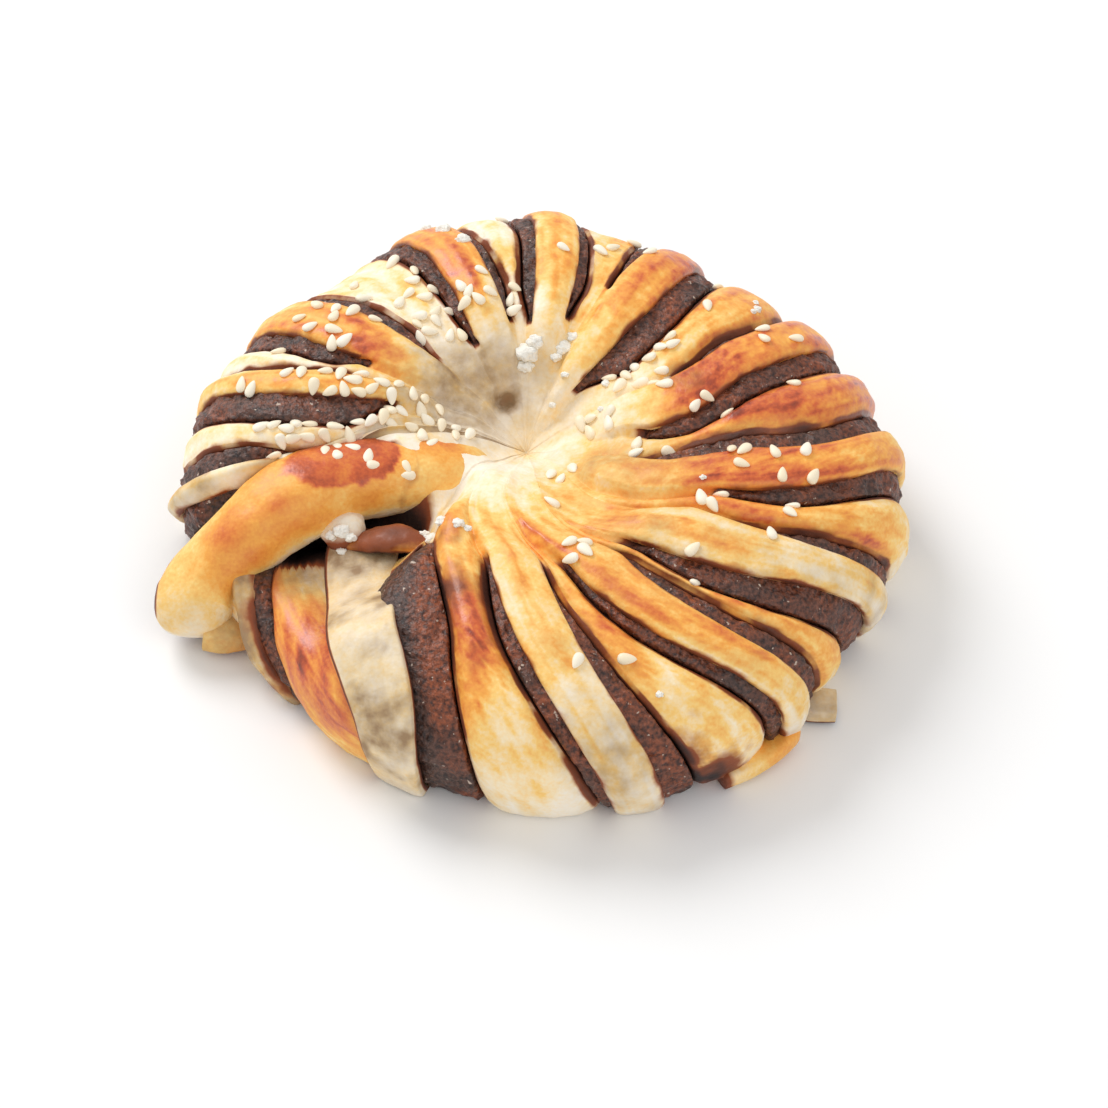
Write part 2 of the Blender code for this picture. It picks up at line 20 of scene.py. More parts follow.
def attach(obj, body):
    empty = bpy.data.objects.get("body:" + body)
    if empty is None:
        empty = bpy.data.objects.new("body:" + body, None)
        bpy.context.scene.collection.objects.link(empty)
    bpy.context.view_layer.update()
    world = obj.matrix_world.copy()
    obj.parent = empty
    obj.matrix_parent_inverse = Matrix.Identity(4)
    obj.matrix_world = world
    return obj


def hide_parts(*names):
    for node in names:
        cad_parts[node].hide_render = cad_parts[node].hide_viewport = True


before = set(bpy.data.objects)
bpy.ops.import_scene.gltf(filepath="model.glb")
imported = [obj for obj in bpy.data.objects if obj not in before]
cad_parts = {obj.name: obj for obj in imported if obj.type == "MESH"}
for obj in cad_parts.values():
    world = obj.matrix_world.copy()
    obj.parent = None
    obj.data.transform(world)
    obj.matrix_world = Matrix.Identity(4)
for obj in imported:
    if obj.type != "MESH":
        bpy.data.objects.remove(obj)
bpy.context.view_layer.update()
MM = 0.001

# %% [markdown]
# ## One curved ground for everything
#
# A bun like this could be sculpted freely, but then the strips, the paste and the seeds would each
# need to be fitted by hand. Instead everything is placed on one smooth ground, by two numbers: the
# angle round the ring in degrees, and a share s of the way from the pinch (0) over the crest (0.45)
# and the rim (0.75) to the foot (0.9) and the middle of the flat underside (1). These are the same
# named sizes as in the solids, in millimetres.

# %% Sizes of the ring
RIM_RADIUS = (63, 62.5, 60.5, 66, 65.5, 65, 66.5, 60, 61, 63.5, 63.3, 59.3)
CREST_HEIGHT = (30, 31, 31.2, 34, 33, 31.5, 31, 27, 27, 28, 28, 29)
CREST_PLACE = (0.60, 0.60, 0.62, 0.62, 0.62, 0.62, 0.60, 0.55, 0.55, 0.55, 0.56, 0.58)
PINCH = np.array((-5.0, 8.0))
WELL_HEIGHT = 17.0
RIM_HEIGHT = 11.0
FOOT_INSET = 5.0
LOWEST = 0.3  # paste and loose dough stay this far over the table
CREST_S, RIM_S, FOOT_S = 0.45, 0.75, 0.90
FIRST_STATION, LAST_STATION = 0.25, 0.85
DIP_DEPTH, DIP_ANGLE, DIP_REACH, DIP_S, DIP_FADE = 11.0, 213.0, 26.0, (0.30, 0.80), (0.12, 0.22)
# Pits in the dip, along the arm's near side: x, y, reach and depth
PITS = ((-44, -13, 6, 15), (-52, -18, 5.5, 13), (-36, -10, 5, 9), (-26, -14, 5, 6), (-18, -10, 4.5, 4))
print("rim radius", min(RIM_RADIUS), "to", max(RIM_RADIUS), "mm")


# %% Readings between stations
def ease(low, high, value):
    x = np.clip((value - low) / (high - low), 0.0, 1.0)
    return x * x * (3 - 2 * x)


def spline(before, start, end, after, t):
    return 0.5 * (
        2 * start + (end - before) * t + (2 * before - 5 * start + 4 * end - after) * t**2
        + (3 * start - before - 3 * end + after) * t**3
    )


def around(values, angle):
    """Equally spaced stations round the ring, read smoothly."""
    values = np.asarray(values, float)
    place = np.mod(np.asarray(angle, float) / 360 * len(values), len(values))
    i = np.floor(place).astype(int)
    return spline(*(values[(i + k) % len(values)] for k in (-1, 0, 1, 2)), place - i)


def along(values, t):
    """Equally spaced values from root to tip, read smoothly."""
    values = np.asarray(values, float)
    last = len(values) - 1
    place = np.clip(np.asarray(t, float), 0, 1) * last
    i = np.minimum(np.floor(place).astype(int), last - 1)
    part = place - i
    if values.ndim > 1:
        part = part[..., None]
    return spline(*(values[np.clip(i + k, 0, last)] for k in (-1, 0, 1, 2)), part)


def through(values, s):
    """Values at the four stations s = 0.25, 0.45, 0.65 and 0.85, read smoothly."""
    return along(values, (np.asarray(s, float) - FIRST_STATION) / (LAST_STATION - FIRST_STATION))


print("crest at 90 degrees:", around(CREST_HEIGHT, 90.0), "mm")


# %% The ground
def ground_profile(angle, s):
    """The share of the way from pinch to rim, seen from above, and the height."""
    crest, crest_place = around(CREST_HEIGHT, angle), around(CREST_PLACE, angle)
    inset = FOOT_INSET / around(RIM_RADIUS, angle)
    t = np.clip(s / CREST_S, 0, 1)
    turn = np.clip((s - CREST_S) / (RIM_S - CREST_S), 0, 1) * math.pi / 2
    low_turn = np.clip((s - RIM_S) / (FOOT_S - RIM_S), 0, 1) * math.pi / 2
    fall = np.maximum(np.cos(turn), 0) ** 0.85
    zones = [s <= CREST_S, s <= RIM_S, s <= FOOT_S]
    out = np.select(
        zones,
        [crest_place * t, crest_place + (1 - crest_place) * np.sin(turn) ** 0.95, 1 - inset * (1 - np.cos(low_turn))],
        (1 - inset) * (1 - s) / (1 - FOOT_S),
    )
    height = np.select(
        zones,
        [WELL_HEIGHT + (crest - WELL_HEIGHT) * (1 - (1 - t) ** 2.2), RIM_HEIGHT + (crest - RIM_HEIGHT) * fall,
         RIM_HEIGHT * (1 - np.sin(low_turn) ** 1.1)],
        0.0,
    )
    return out, height


def ground(angle, s):
    angle, s = np.broadcast_arrays(np.asarray(angle, float), np.asarray(s, float))
    out, height = ground_profile(angle, s)
    radius, turn = around(RIM_RADIUS, angle), np.radians(angle)
    x = PINCH[0] + (radius * np.cos(turn) - PINCH[0]) * out
    y = PINCH[1] + (radius * np.sin(turn) - PINCH[1]) * out
    return np.stack([x, y, height], -1)


def unit(vectors):
    return vectors / np.maximum(np.linalg.norm(vectors, axis=-1, keepdims=True), 1e-9)


def outward(angle, s):
    s = np.asarray(s, float)
    ring = ground(angle + 1, s) - ground(angle - 1, s)
    downhill = ground(angle, np.minimum(s + 0.004, 1)) - ground(angle, np.maximum(s - 0.004, 0.001))
    return unit(np.cross(downhill, ring))


def dip(angle, s):
    """How far the ring's start lies lower, under the arm."""
    off = np.abs(np.mod(angle - DIP_ANGLE + 180, 360) - 180) / DIP_REACH
    (low, high), (fade_in, fade_out) = DIP_S, DIP_FADE
    across = 1 - ease(0.35, 1.0, off)
    fall = DIP_DEPTH * across * ease(low, low + fade_in, s) * (1 - ease(high - fade_out, high, s))
    place, upper = ground(angle, s), 1 - ease(CREST_S, RIM_S, s)
    for x, y, reach, depth in PITS:
        off = ((place[..., 0] - x) / reach) ** 2 + ((place[..., 1] - y) / reach) ** 2
        fall = fall + depth * np.exp(-off) * upper
    return fall


def lifted(angle, s, lift, lowest=0.0):
    point = ground(angle, s) + outward(angle, s) * np.asarray(lift - dip(angle, s))[..., None]
    point[..., 2] = np.maximum(point[..., 2], lowest)
    return point


def place_at(angle, s, lift=0.0):
    """One point over the ground, in mm."""
    return lifted(np.array([float(angle)]), np.array([float(s)]), np.array([float(lift)]))[0]


def degrees_per_mm(angle, s):
    out, _ = ground_profile(angle, np.clip(s, FIRST_STATION, RIM_S))
    return np.degrees(1.0 / (out * around(RIM_RADIUS, angle)))


print("top of the crest at 90 degrees:", place_at(90, CREST_S).round(1))

# %% [markdown]
# ## Strips, bands and panels
#
# On the real bun each strip is a narrow tongue of dough between two slits, and the dough between two
# strips puffs up into a panel. They could be modelled one by one. Here a row of a table tells each
# strip: its heading and width at four places between the pinch and the foot, how much paste shows on
# each side, where its two slits start and where it ends. So one function makes all of them.

# %% Strips
BED_LIFT, STRIP_LIFT = -1.8, 2.6  # of the bed of paste and of a strip's back, over the ground
TUCKED = 0.895
Strip = namedtuple(
    "Strip", "name heading width left right tips tone grey lift end", defaults=((0, 0, 0, 0), STRIP_LIFT, TUCKED)
)
STRIPS = (
    Strip("start", (190, 192.5, 197.5, 221), (1, 1, 5, 7), (0.3, 0.3, 0.3, 0.3), (1, 1.5, 4, 5.5),
          (0.58, 0.56), (0.35, 0.35, 0.35, 0.4), (1.5, 1.5, 1.4, 1.2)),
    Strip("broad", (228, 236, 250.5, 255.5), (1, 2, 3, 3), (1, 11, 5, 2.5), (2, 7, 5, 5.5),
          (0.44, 0.44), (0.2, 0.2, 0.2, 0.2), (0.5, 0.4, 0.35, 0.4), BED_LIFT),
    Strip("front", (246, 264.5, 279.3, 286.5), (3.5, 9.3, 9.9, 9), (0.5, 2.4, 3.1, 2), (0.3, 0.9, 4.7, 6),
          (0.44, 0.43), (0.34, 0.42, 0.2, 0.06), (0.1, 0.1, 0.25, 0.5), end=0.875),
    Strip("front_right", (266, 287, 308.8, 316), (4, 9.3, 7.3, 7), (0.5, 1.8, 3, 2.5), (0.5, 3.2, 4, 4),
          (0.43, 0.40), (0.32, 0.48, 0.42, 0.10), (0, 0.1, 0.1, 0.4), end=0.86),
    Strip("right_low", (288, 313.7, 334.5, 345), (6, 11.4, 8.7, 7.3), (0.5, 2.6, 7, 7), (0.5, 1, 3.6, 3.5),
          (0.40, 0.47), (0.36, 0.38, 0.14, 0.06), (0.1, 0.3, 0.4, 0.4), end=0.86),
    Strip("right", (320, 342, 366.5, 375), (7.7, 10.8, 9.4, 8.6), (0.3, 4, 5.6, 5), (5, 4.6, 5, 5),
          (0.44, 0.25), (0.34, 0.64, 0.5, 0.22), (0.1, 0, 0, 0)),
    Strip("right_high", (368.5, 385.3, 396.5, 401.5), (10, 8.4, 9.4, 9.5), (3.5, 4.2, 4.6, 4.5),
          (0.6, 1.4, 1.4, 1), (0.22, 0.30), (0.45, 0.68, 0.66, 0.32)),
    Strip("back_right", (422.5, 424.5, 426.5, 427.5), (6.5, 9.2, 8.3, 8), (5.2, 5.4, 4.2, 3.8),
          (0.3, 0.8, 4.5, 5), (0.14, 0.40), (0.32, 0.6, 0.72, 0.45)),
    Strip("back", (447.5, 449, 454, 455.5), (6, 8.2, 8.3, 8), (1.8, 2, 1.6, 2), (2.4, 2.6, 3.8, 4),
          (0.27, 0.24), (0.25, 0.42, 0.5, 0.4), lift=2.4),
    Strip("back_left", (474.5, 475, 477.5, 479), (7.4, 8.5, 10, 10), (1.5, 1.8, 1.5, 1.5), (1.4, 2.8, 5.8, 6),
          (0.25, 0.22), (0.25, 0.54, 0.5, 0.36), (0.1, 0, 0, 0), 2.4),
    Strip("left_high", (515.2, 513, 510, 509), (6.6, 10.5, 9.4, 9), (2.2, 2.7, 2.4, 2), (0.8, 3.2, 4, 4.5),
          (0.24, 0.36), (0.32, 0.5, 0.42, 0.3), (0.2, 0, 0, 0), 2.2),
    Strip("left", (534, 534, 528.5, 522), (3.5, 6, 5, 5.5), (0.3, 0.4, 0.5, 0.5), (2.5, 5.5, 5.6, 3.5),
          (0.38, 0.28), (0.22, 0.38, 0.36, 0.3), (0.3, 0, 0, 0), 2.2),
    Strip("prong", (545.5, 551.5, 549.5, 538), (1, 1, 4, 4), (0.3, 1, 4.8, 3), (0.3, 0.3, 4, 6),
          (0.46, 0.60), (0.2, 0.18, 0.18, 0.2), (0.4, 0.5, 0.7, 0.6), 3.0),
)
PRONG = len(STRIPS) - 1
# the panel after each strip: browning at the four stations
PANEL_TONES = (
    (0.2, 0.28, 0.72, 0.72), (0.30, 0.44, 0.36, 0.08), (0.35, 0.52, 0.32, 0.12), (0.36, 0.5, 0.4, 0.35),
    (0.36, 0.5, 0.34, 0.16), (0.45, 0.74, 0.72, 0.5), (0.2, 0.42, 0.52, 0.4), (0.2, 0.3, 0.4, 0.35),
    (0.1, 0.12, 0.2, 0.2), (0.08, 0.14, 0.18, 0.16), (0.16, 0.14, 0.16, 0.16), (0.2, 0.16, 0.14, 0.16),
    (0.2, 0.2, 0.2, 0.2),
)


def side_width(strip, side, s):
    """The paste that shows past a strip's left (0) or right (1) edge, in mm."""
    tip = strip.tips[side]
    width = through(strip.right if side else strip.left, s)
    return np.maximum(width, 0.1) * ease(tip - 0.02, tip + 0.12, s)


print(len(STRIPS), "strips")


# %% [markdown]
# ## The section through a strip
#
# In the real bun a slit's two lips part and show the paste. Here the ring is one mesh whose columns
# run out from the pinch. From a panel's edge they go down the lip, along the bed of paste, in under
# the strip, up its side and over its back. Before a slit's tip the same columns lie on the closed
# dough, so strips grow out of the middle with no seam.

# %% Columns of one strip
# mm past a strip's paste, and lift, of the lip's columns; then mm in from its edge, and drop from its back
LIP_OUT = (1.0, 0.45, 0.10, -0.05, -0.15)
LIP_LIFT = (0.15, -0.35, -1.0, -1.9, -3.2)
SIDE_IN = (1.7, 1.6, 0.7, 0.12, 0.0, 0.22, 0.75)
SIDE_DROP = (9.0, 2.7, 2.35, 1.75, 1.15, 0.5, 0.15)
SIDE_COLUMNS, TOP_COLUMNS, PANEL_COLUMNS = len(LIP_OUT) + len(SIDE_IN), 13, 14
STRIP_COLUMNS = 2 * SIDE_COLUMNS + TOP_COLUMNS
PANEL_EDGE, STRIP_CROWN, ROOMY = 0.5, 0.55, 2.0
PANEL_PUFFS = (2, 2, 0.8, 1.2, 2, 2, 2, -0.3, 1, -0.8, 1, 0.6, 1)


def puffed(s):
    """From 0 near the pinch to 1 on the crest, and to 0 again at the foot."""
    return ease(0.12, 0.42, s) * (1 - ease(0.84, 0.895, s))


def strip_rise(strip, s):
    """From 0 in the middle to 1 where the strip stands clear; a tucked end sinks, a cut end drops."""
    tip = min(strip.tips)
    risen = ease(tip - 0.12, tip + 0.01, s)
    if strip.end == TUCKED:
        return risen * (1 - ease(0.85, TUCKED, s))
    return risen * (1 - ease(strip.end, strip.end + 0.004, s))


def side_columns(strip, side, s):
    """Distance from the strip's middle and lift of each column, from the panel's lip to its back."""
    half = through(strip.width, s) / 2
    room = np.minimum(half / ROOMY, 1)
    paste = side_width(strip, side, s)
    tip = strip.tips[side]
    opened = ease(tip - 0.012, tip + 0.045, s) * (1 - ease(0.865, 0.893, s))
    back = strip.lift * strip_rise(strip, s)
    lip = PANEL_EDGE * puffed(s)
    distances, lifts = [], []
    for k in range(SIDE_COLUMNS):
        share = k / (SIDE_COLUMNS - 1)
        closed_at = half + (1.3 - 2.05 * share) * room
        closed_lift = lip + (back - SIDE_DROP[-1] - lip) * ease(0, 1, share)
        j = k - len(LIP_OUT)
        if j < 0:
            open_at, open_lift = half + paste + LIP_OUT[k] * room, lip + LIP_LIFT[k]
        else:
            open_at, open_lift = half - SIDE_IN[j] * room, back - SIDE_DROP[j]
        distances.append(closed_at + (open_at - closed_at) * opened)
        lifts.append(closed_lift + (np.maximum(open_lift, BED_LIFT) - closed_lift) * opened)
    return np.stack(distances, -1), np.stack(lifts, -1)


def strip_columns(strip, s):
    """Angles and lifts across one strip, lip to lip."""
    middle = through(strip.heading, s)
    half = through(strip.width, s) / 2
    left, left_lift = side_columns(strip, 0, s)
    right, right_lift = side_columns(strip, 1, s)
    rise = strip_rise(strip, s)[:, None]
    inner = half - SIDE_IN[-1] * np.minimum(half / ROOMY, 1)
    share = np.linspace(-1, 1, TOP_COLUMNS + 2)[1:-1]
    top_lift = strip.lift * rise * (1 + 0 * share) - SIDE_DROP[-1] + STRIP_CROWN * (1 - share**2) * rise
    offsets = np.concatenate([-left, inner[:, None] * share, right[:, ::-1]], 1)
    lifts = np.concatenate([left_lift, top_lift, right_lift[:, ::-1]], 1)
    return middle[:, None] + offsets * degrees_per_mm(middle, s)[:, None], lifts


ROWS = np.concatenate([
    np.linspace(0.004, 0.16, 14, endpoint=False), np.linspace(0.16, 0.80, 92, endpoint=False),
    np.linspace(0.80, 0.90, 30, endpoint=False), np.linspace(0.90, 0.995, 9),
])
print("columns:", len(STRIPS) * (STRIP_COLUMNS + PANEL_COLUMNS), "rows:", len(ROWS))


# %% The whole ring's columns
PANEL, BACK, BED = range(3)  # what a column lies on


def ring_columns(s):
    """Angle, lift, mm from the nearest band's edge and mm from the strip's or the panel's start of every
    point, and the owner and the kind of every column."""
    parts, owner, kinds = [], [], []
    strips = [strip_columns(strip, s) for strip in STRIPS]
    lips = len(LIP_OUT)
    kind = np.full(STRIP_COLUMNS, BACK)
    kind[:2] = kind[-2:] = PANEL
    kind[2:lips + 2] = kind[-lips - 2:-2] = BED
    share = np.arange(1, PANEL_COLUMNS + 1) / (PANEL_COLUMNS + 1)
    share = 0.6 * share + 0.4 * (0.5 - 0.5 * np.cos(np.pi * share))
    for i, strip in enumerate(STRIPS):
        angle, lift = strips[i]
        middle = through(strip.heading, s)
        offset = (angle - middle[:, None]) / degrees_per_mm(middle, s)[:, None]
        inside = np.maximum(through(strip.width, s)[:, None] / 2 - np.abs(offset), 0)
        parts.append((angle, lift, inside, offset))
        after, after_lift = strips[(i + 1) % len(STRIPS)]
        start, end = angle[:, -1:], after[:, :1] + (360 if i == PRONG else 0)
        width = (end - start) / degrees_per_mm(start, s[:, None])
        puff = np.clip(0.3 * width, None, PANEL_PUFFS[i]) * (1 - np.abs(2 * share - 1) ** 3.0) * puffed(s)[:, None]
        edge = lift[:, -1:] * (1 - share) + after_lift[:, :1] * share
        parts.append((start + (end - start) * share, edge + puff, np.minimum(share, 1 - share) * width,
                      share * width + 30))
        owner += [i] * (STRIP_COLUMNS + PANEL_COLUMNS)
        kinds += [*kind, *[PANEL] * PANEL_COLUMNS]
    return [np.concatenate(each, 1) for each in zip(*parts)], np.array(owner), np.array(kinds)


print("bed columns:", int((ring_columns(ROWS)[2] == BED).sum()))


# %% [markdown]
# ## Tools for the meshes
#
# Dough is never quite smooth. A displacement modifier could roughen it, but numbers added before the
# mesh is made also tell the colours where to go. Each mesh carries its colours as values on its points.

# %% Roughness of dough, as numbers
def rough(points, size, seed):
    """Smooth noise from -1 to 1 with bumps of this size in mm, the same on each run."""
    flat = np.asarray(points, float).reshape(-1, 3) / size + seed * 7.3
    found = [noise.noise(Vector(p)) for p in flat]
    return np.array(found).reshape(np.shape(points)[:-1])


def layers(points, *bumps):
    """The sum of several roughnesses, each with its amount, its size in mm and its seed."""
    return sum(amount * rough(points, size, seed) for amount, size, seed in bumps)


print("roughness at three places:", rough([[0, 0, 0], [5, 0, 0], [0, 5, 0]], 4, 1).round(2))


# %% Mesh helpers
def new_object(name, data):
    made = bpy.data.objects.new(name, data)
    bpy.context.scene.collection.objects.link(made)
    return made


def mesh_object(name, points_mm, faces, attributes, node="dough"):
    """A piece that rides on the frame and stands for its solid, with values from 0 to 2 on its points."""
    mesh = bpy.data.meshes.new(name)
    mesh.from_pydata((np.asarray(points_mm, float).reshape(-1, 3) * MM).tolist(), [], faces)
    mesh.validate()
    mesh.shade_smooth()
    for key, values in attributes.items():
        made = mesh.attributes.new(key, "FLOAT", "POINT")
        made.data.foreach_set("value", np.clip(values, 0, 2).astype(np.float32).ravel())
    piece = new_object(name, mesh)
    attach(piece, "root")
    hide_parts(node)
    print(name, len(mesh.polygons), "faces")
    return piece


def grid_faces(rows, columns, flip=False):
    faces = []
    for r in range(rows - 1):
        for c in range(columns):
            a, b = r * columns + c, r * columns + (c + 1) % columns
            quad = (a, a + columns, b + columns, b)
            faces.append(quad[::-1] if flip else quad)
    return faces


def tube_faces(rings, sides):
    """A tube with both ends closed."""
    ends = [tuple(range(sides)), tuple(reversed(range((rings - 1) * sides, rings * sides)))]
    return grid_faces(rings, sides) + ends


def ball_faces(rows, columns, flip=False):
    """A tube whose ends are closed by fans round two more points."""
    last = rows * columns
    edges = [(c, (c + 1) % columns)[::-1 if flip else 1] for c in range(columns)]
    fans = [(last, a, b) for a, b in edges]
    fans += [(last + 1, last - columns + b, last - columns + a) for a, b in edges]
    return grid_faces(rows, columns, flip) + fans


def bell(distance, reach):
    return np.exp(-((distance / reach) ** 2))


def round_of(sides):
    return np.linspace(0, 2 * np.pi, sides, endpoint=False)


def squared(values, power):
    """Pushes a round section towards a square one."""
    return np.sign(values) * np.abs(values) ** power


print("a tube of 3 rings and 4 sides has", len(tube_faces(3, 4)), "faces")


# %% [markdown]
# ## Browning
#
# The oven colours the dough from cream over yellow and gold to orange-brown, most on the crests
# that face up and back. Egg glaze and paste leave brown stains, and thin dough near the pinch looks
# grey. The same values also carry painted shade: in the hollow along the arm's near side, in the
# small pit near the pinch, and under the arm, the knob, the slab and the loose ends. This could be
# painted by hand. Here each strip and panel has its tone at four stations, and patches add what is
# particular, so the same rule can colour any bun.

# %% Patches of colour: angle, s, reach in mm, how much is added
BROWN_PATCHES = (
    (60, 0.30, 12, 0.10), (120, 0.42, 7, 0.25), (156, 0.41, 7, 0.20), (211, 0.61, 6, -0.45),
    (252, 0.52, 5, 0.25), (260, 0.56, 6, 0.25),
    (20, 0.42, 9, 0.12), (12, 0.36, 7, 0.12), (343, 0.66, 6, 0.35), (334, 0.50, 7, 0.25), (100, 0.42, 6, 0.25),
    (286, 0.52, 7, 0.20), (325, 0.18, 8, 0.20), (295, 0.18, 7, 0.16), (280, 0.33, 9, 0.14),
)
GREY_PATCHES = (
    (135, 0.13, 10, 0.75), (160, 0.20, 9, 0.55), (100, 0.14, 7, 0.5), (281, 0.70, 7, 0.9), (337, 0.30, 8, 0.4),
    (328, 0.20, 7, 0.65), (305, 0.40, 8, 0.3), (190, 0.20, 7, 0.4), (211, 0.61, 6, 1.4), (142, 0.22, 6, 0.6),
)
STAIN_PATCHES = (
    (240, 0.44, 5, 0.35), (250, 0.50, 5, 0.25), (297, 0.80, 7, 0.9), (292, 0.70, 5, 0.3), (203, 0.66, 4, 0.25),
    (212, 0.74, 4, 0.2), (219, 0.82, 4, 0.3),
    (20, 0.33, 5, 0.3), (252, 0.50, 5, 0.22), (260, 0.56, 6, 0.24), (245, 0.86, 6, 0.4),
)
# painted shade in the hollow along the arm's near side: at these angles it ends at these shares s
HOLLOW_ANGLE = (192, 198, 203, 206, 209, 215, 222, 232)
HOLLOW_END = (0.30, 0.74, 0.69, 0.62, 0.555, 0.52, 0.49, 0.40)
HOLLOW_PAINTED_SHADE = 1.9
# the small pit near the pinch is dug in, and darkened with painted shade as grey and as stain
WELL_PIT, WELL_PIT_DEPTH = (122, 0.10, 2.0, 1.0), 3.6  # the small hole near the pinch
# soft swells near the pinch, paler than the rest: angle, s, reach and height in mm
SWELLS = ((248, 0.20, 7.5, 2.4), (262, 0.30, 6, 1.0), (215, 0.22, 5, 1.0))
PINCH_TO_FOOT = 85.0


def patches(points, table, lift=1.5):
    total = np.zeros(points.shape[:-1])
    for angle, s, reach, amount in table:
        total += amount * bell(np.linalg.norm(points - place_at(angle, s, lift), axis=-1), reach)
    return total


def streaks(aside, s, owner, width, length):
    """Noise drawn out along a strip: bumps this wide and this long, in mm."""
    return rough(np.stack([aside / width, s * PINCH_TO_FOOT / length, owner * 3.7 + 0 * s], -1), 1.0, 9)


print(len(BROWN_PATCHES) + len(GREY_PATCHES) + len(STAIN_PATCHES), "patches of colour")


# %% The ring of dough
def hollow(angle, s):
    """From 0 to 1: how much painted shade a place gets in the hollow along the arm's near side."""
    end = np.interp(np.mod(angle, 360), HOLLOW_ANGLE, HOLLOW_END)
    inside = ease(end + 0.05, end - 0.03, s) * ease(0.3, 0.4, s)
    return inside * ease(0.42, 0.50, end)


def ring_values(owner, kind):
    """Browning, greyness and how open the slit is, from the tables of strips and panels."""
    tone, grey, slit = np.zeros((3, len(ROWS), len(owner)))
    for i, strip in enumerate(STRIPS):
        own = np.flatnonzero(owner == i)
        tone[:, own] = through(PANEL_TONES[i], ROWS)[:, None]
        tone[:, own[:2]] = through(PANEL_TONES[i - 1], ROWS)[:, None]
        on_strip = (owner == i) & (kind > PANEL)
        tone[:, on_strip] = through(strip.tone, ROWS)[:, None]
        grey[:, on_strip] = through(strip.grey, ROWS)[:, None]
        tips = (*strip.tips, STRIPS[(i + 1) % len(STRIPS)].tips[0])
        for part, tip in zip(np.split(own, (STRIP_COLUMNS // 2, STRIP_COLUMNS + PANEL_COLUMNS // 2)), tips):
            slit[:, part] = ease(tip - 0.01, tip + 0.03, ROWS)[:, None]
    return tone, grey, slit


def ring_piece():
    (angle, lift, inside, aside), owner, kind = ring_columns(ROWS)
    s = np.repeat(ROWS[:, None], angle.shape[1], 1)
    base = lifted(angle, s, lift)
    shown = ease(0.05, 0.2, s) * (1 - ease(0.85, 0.90, s))
    clear, middle = ease(0.14, 0.36, s), 1 - ease(0.12, 0.34, s)
    drawn = streaks(aside, s, owner, 2.4, 16) * clear
    fine_drawn = streaks(aside + 50, s, owner, 0.9, 9) * clear
    relief = layers(base, (0.35, 9, 1), (0.20, 3.0, 2), (0.09, 1.4, 3)) + 0.22 * drawn
    soft = ease(0.02, 0.08, s) * middle
    relief = relief * shown * np.where(kind == BED, 0.4, 1.0) + soft * layers(base, (0.9, 7, 14), (0.35, 2.6, 15))
    pit, swell = patches(base, (WELL_PIT,), 0), patches(base, SWELLS, 0)
    points = lifted(angle, s, lift + relief - WELL_PIT_DEPTH * pit + swell)
    tone, grey, slit = ring_values(owner, kind)
    tone = tone * (1 - middle) + 0.10 * middle - 0.10 * np.clip(swell, 0, 1.5)
    tone = tone * (1 - 0.5 * ease(0.72, 0.86, s)) + patches(points, BROWN_PATCHES)
    tone += layers(points, (0.16, 7, 5), (0.13, 2.2, 6)) + 0.30 * drawn * (0.4 + tone) + 0.14 * fine_drawn
    tone += 0.30 * np.clip(tone, 0, 1) * rough(points, 1.3, 18)
    mottled = rough(points, 5, 7)
    grey = grey * (1 + mottled) + patches(points, GREY_PATCHES) + 0.08 * mottled
    # grey: thin see-through dough, and painted shade in the pit near the pinch
    grey = grey * (1 - 0.45 * np.clip(swell, 0, 2)) + 1.8 * pit
    ragged = 0.36 * np.clip(1 + 1.8 * rough(points, 3, 16), 0.2, 2.2)
    border = np.exp(-inside / ragged) * (1 + rough(points, 6, 17))
    stain_and_shade = patches(points, STAIN_PATCHES) * (1 + 0.8 * rough(points, 2.5, 8))
    stain_and_shade += np.where(kind == BED, 1.1, 0.5 * border) * slit
    # painted shade: dark in the hollow along the arm's near side and in the pit near the pinch
    stain_and_shade += 0.12 * rough(points, 4, 8) + HOLLOW_PAINTED_SHADE * hollow(angle, s) + 0.25 * pit
    values = {key: np.append(v.ravel(), [0.1, 0.1]) for key, v in (("brown", tone), ("grey", grey), ("stain_and_shade", stain_and_shade))}
    everything = np.concatenate([points.reshape(-1, 3), [place_at(0, 0), (0, 0, 0)]])
    return mesh_object("ring_of_dough", everything, ball_faces(*s.shape), values)


ring = ring_piece()


# %% [markdown]
# ## Paste
#
# Bean paste is a stiff, grainy spread of cooked beans and sugar. The knife leaves it in the slits as
# a lumpy band. One sheet under the whole ring would do for the picture, but in the solids each band
# is a node of its own, so each bed gets its own slab with a lumpy back. A value on its points says
# where it is damp and red and where it is dry and dark.

# %% Bands of paste
PASTE_SIDES, PASTE_RINGS = 36, 130
PASTE_TOP, PASTE_BOTTOM, PASTE_END = 0.95, -1.35, 0.868


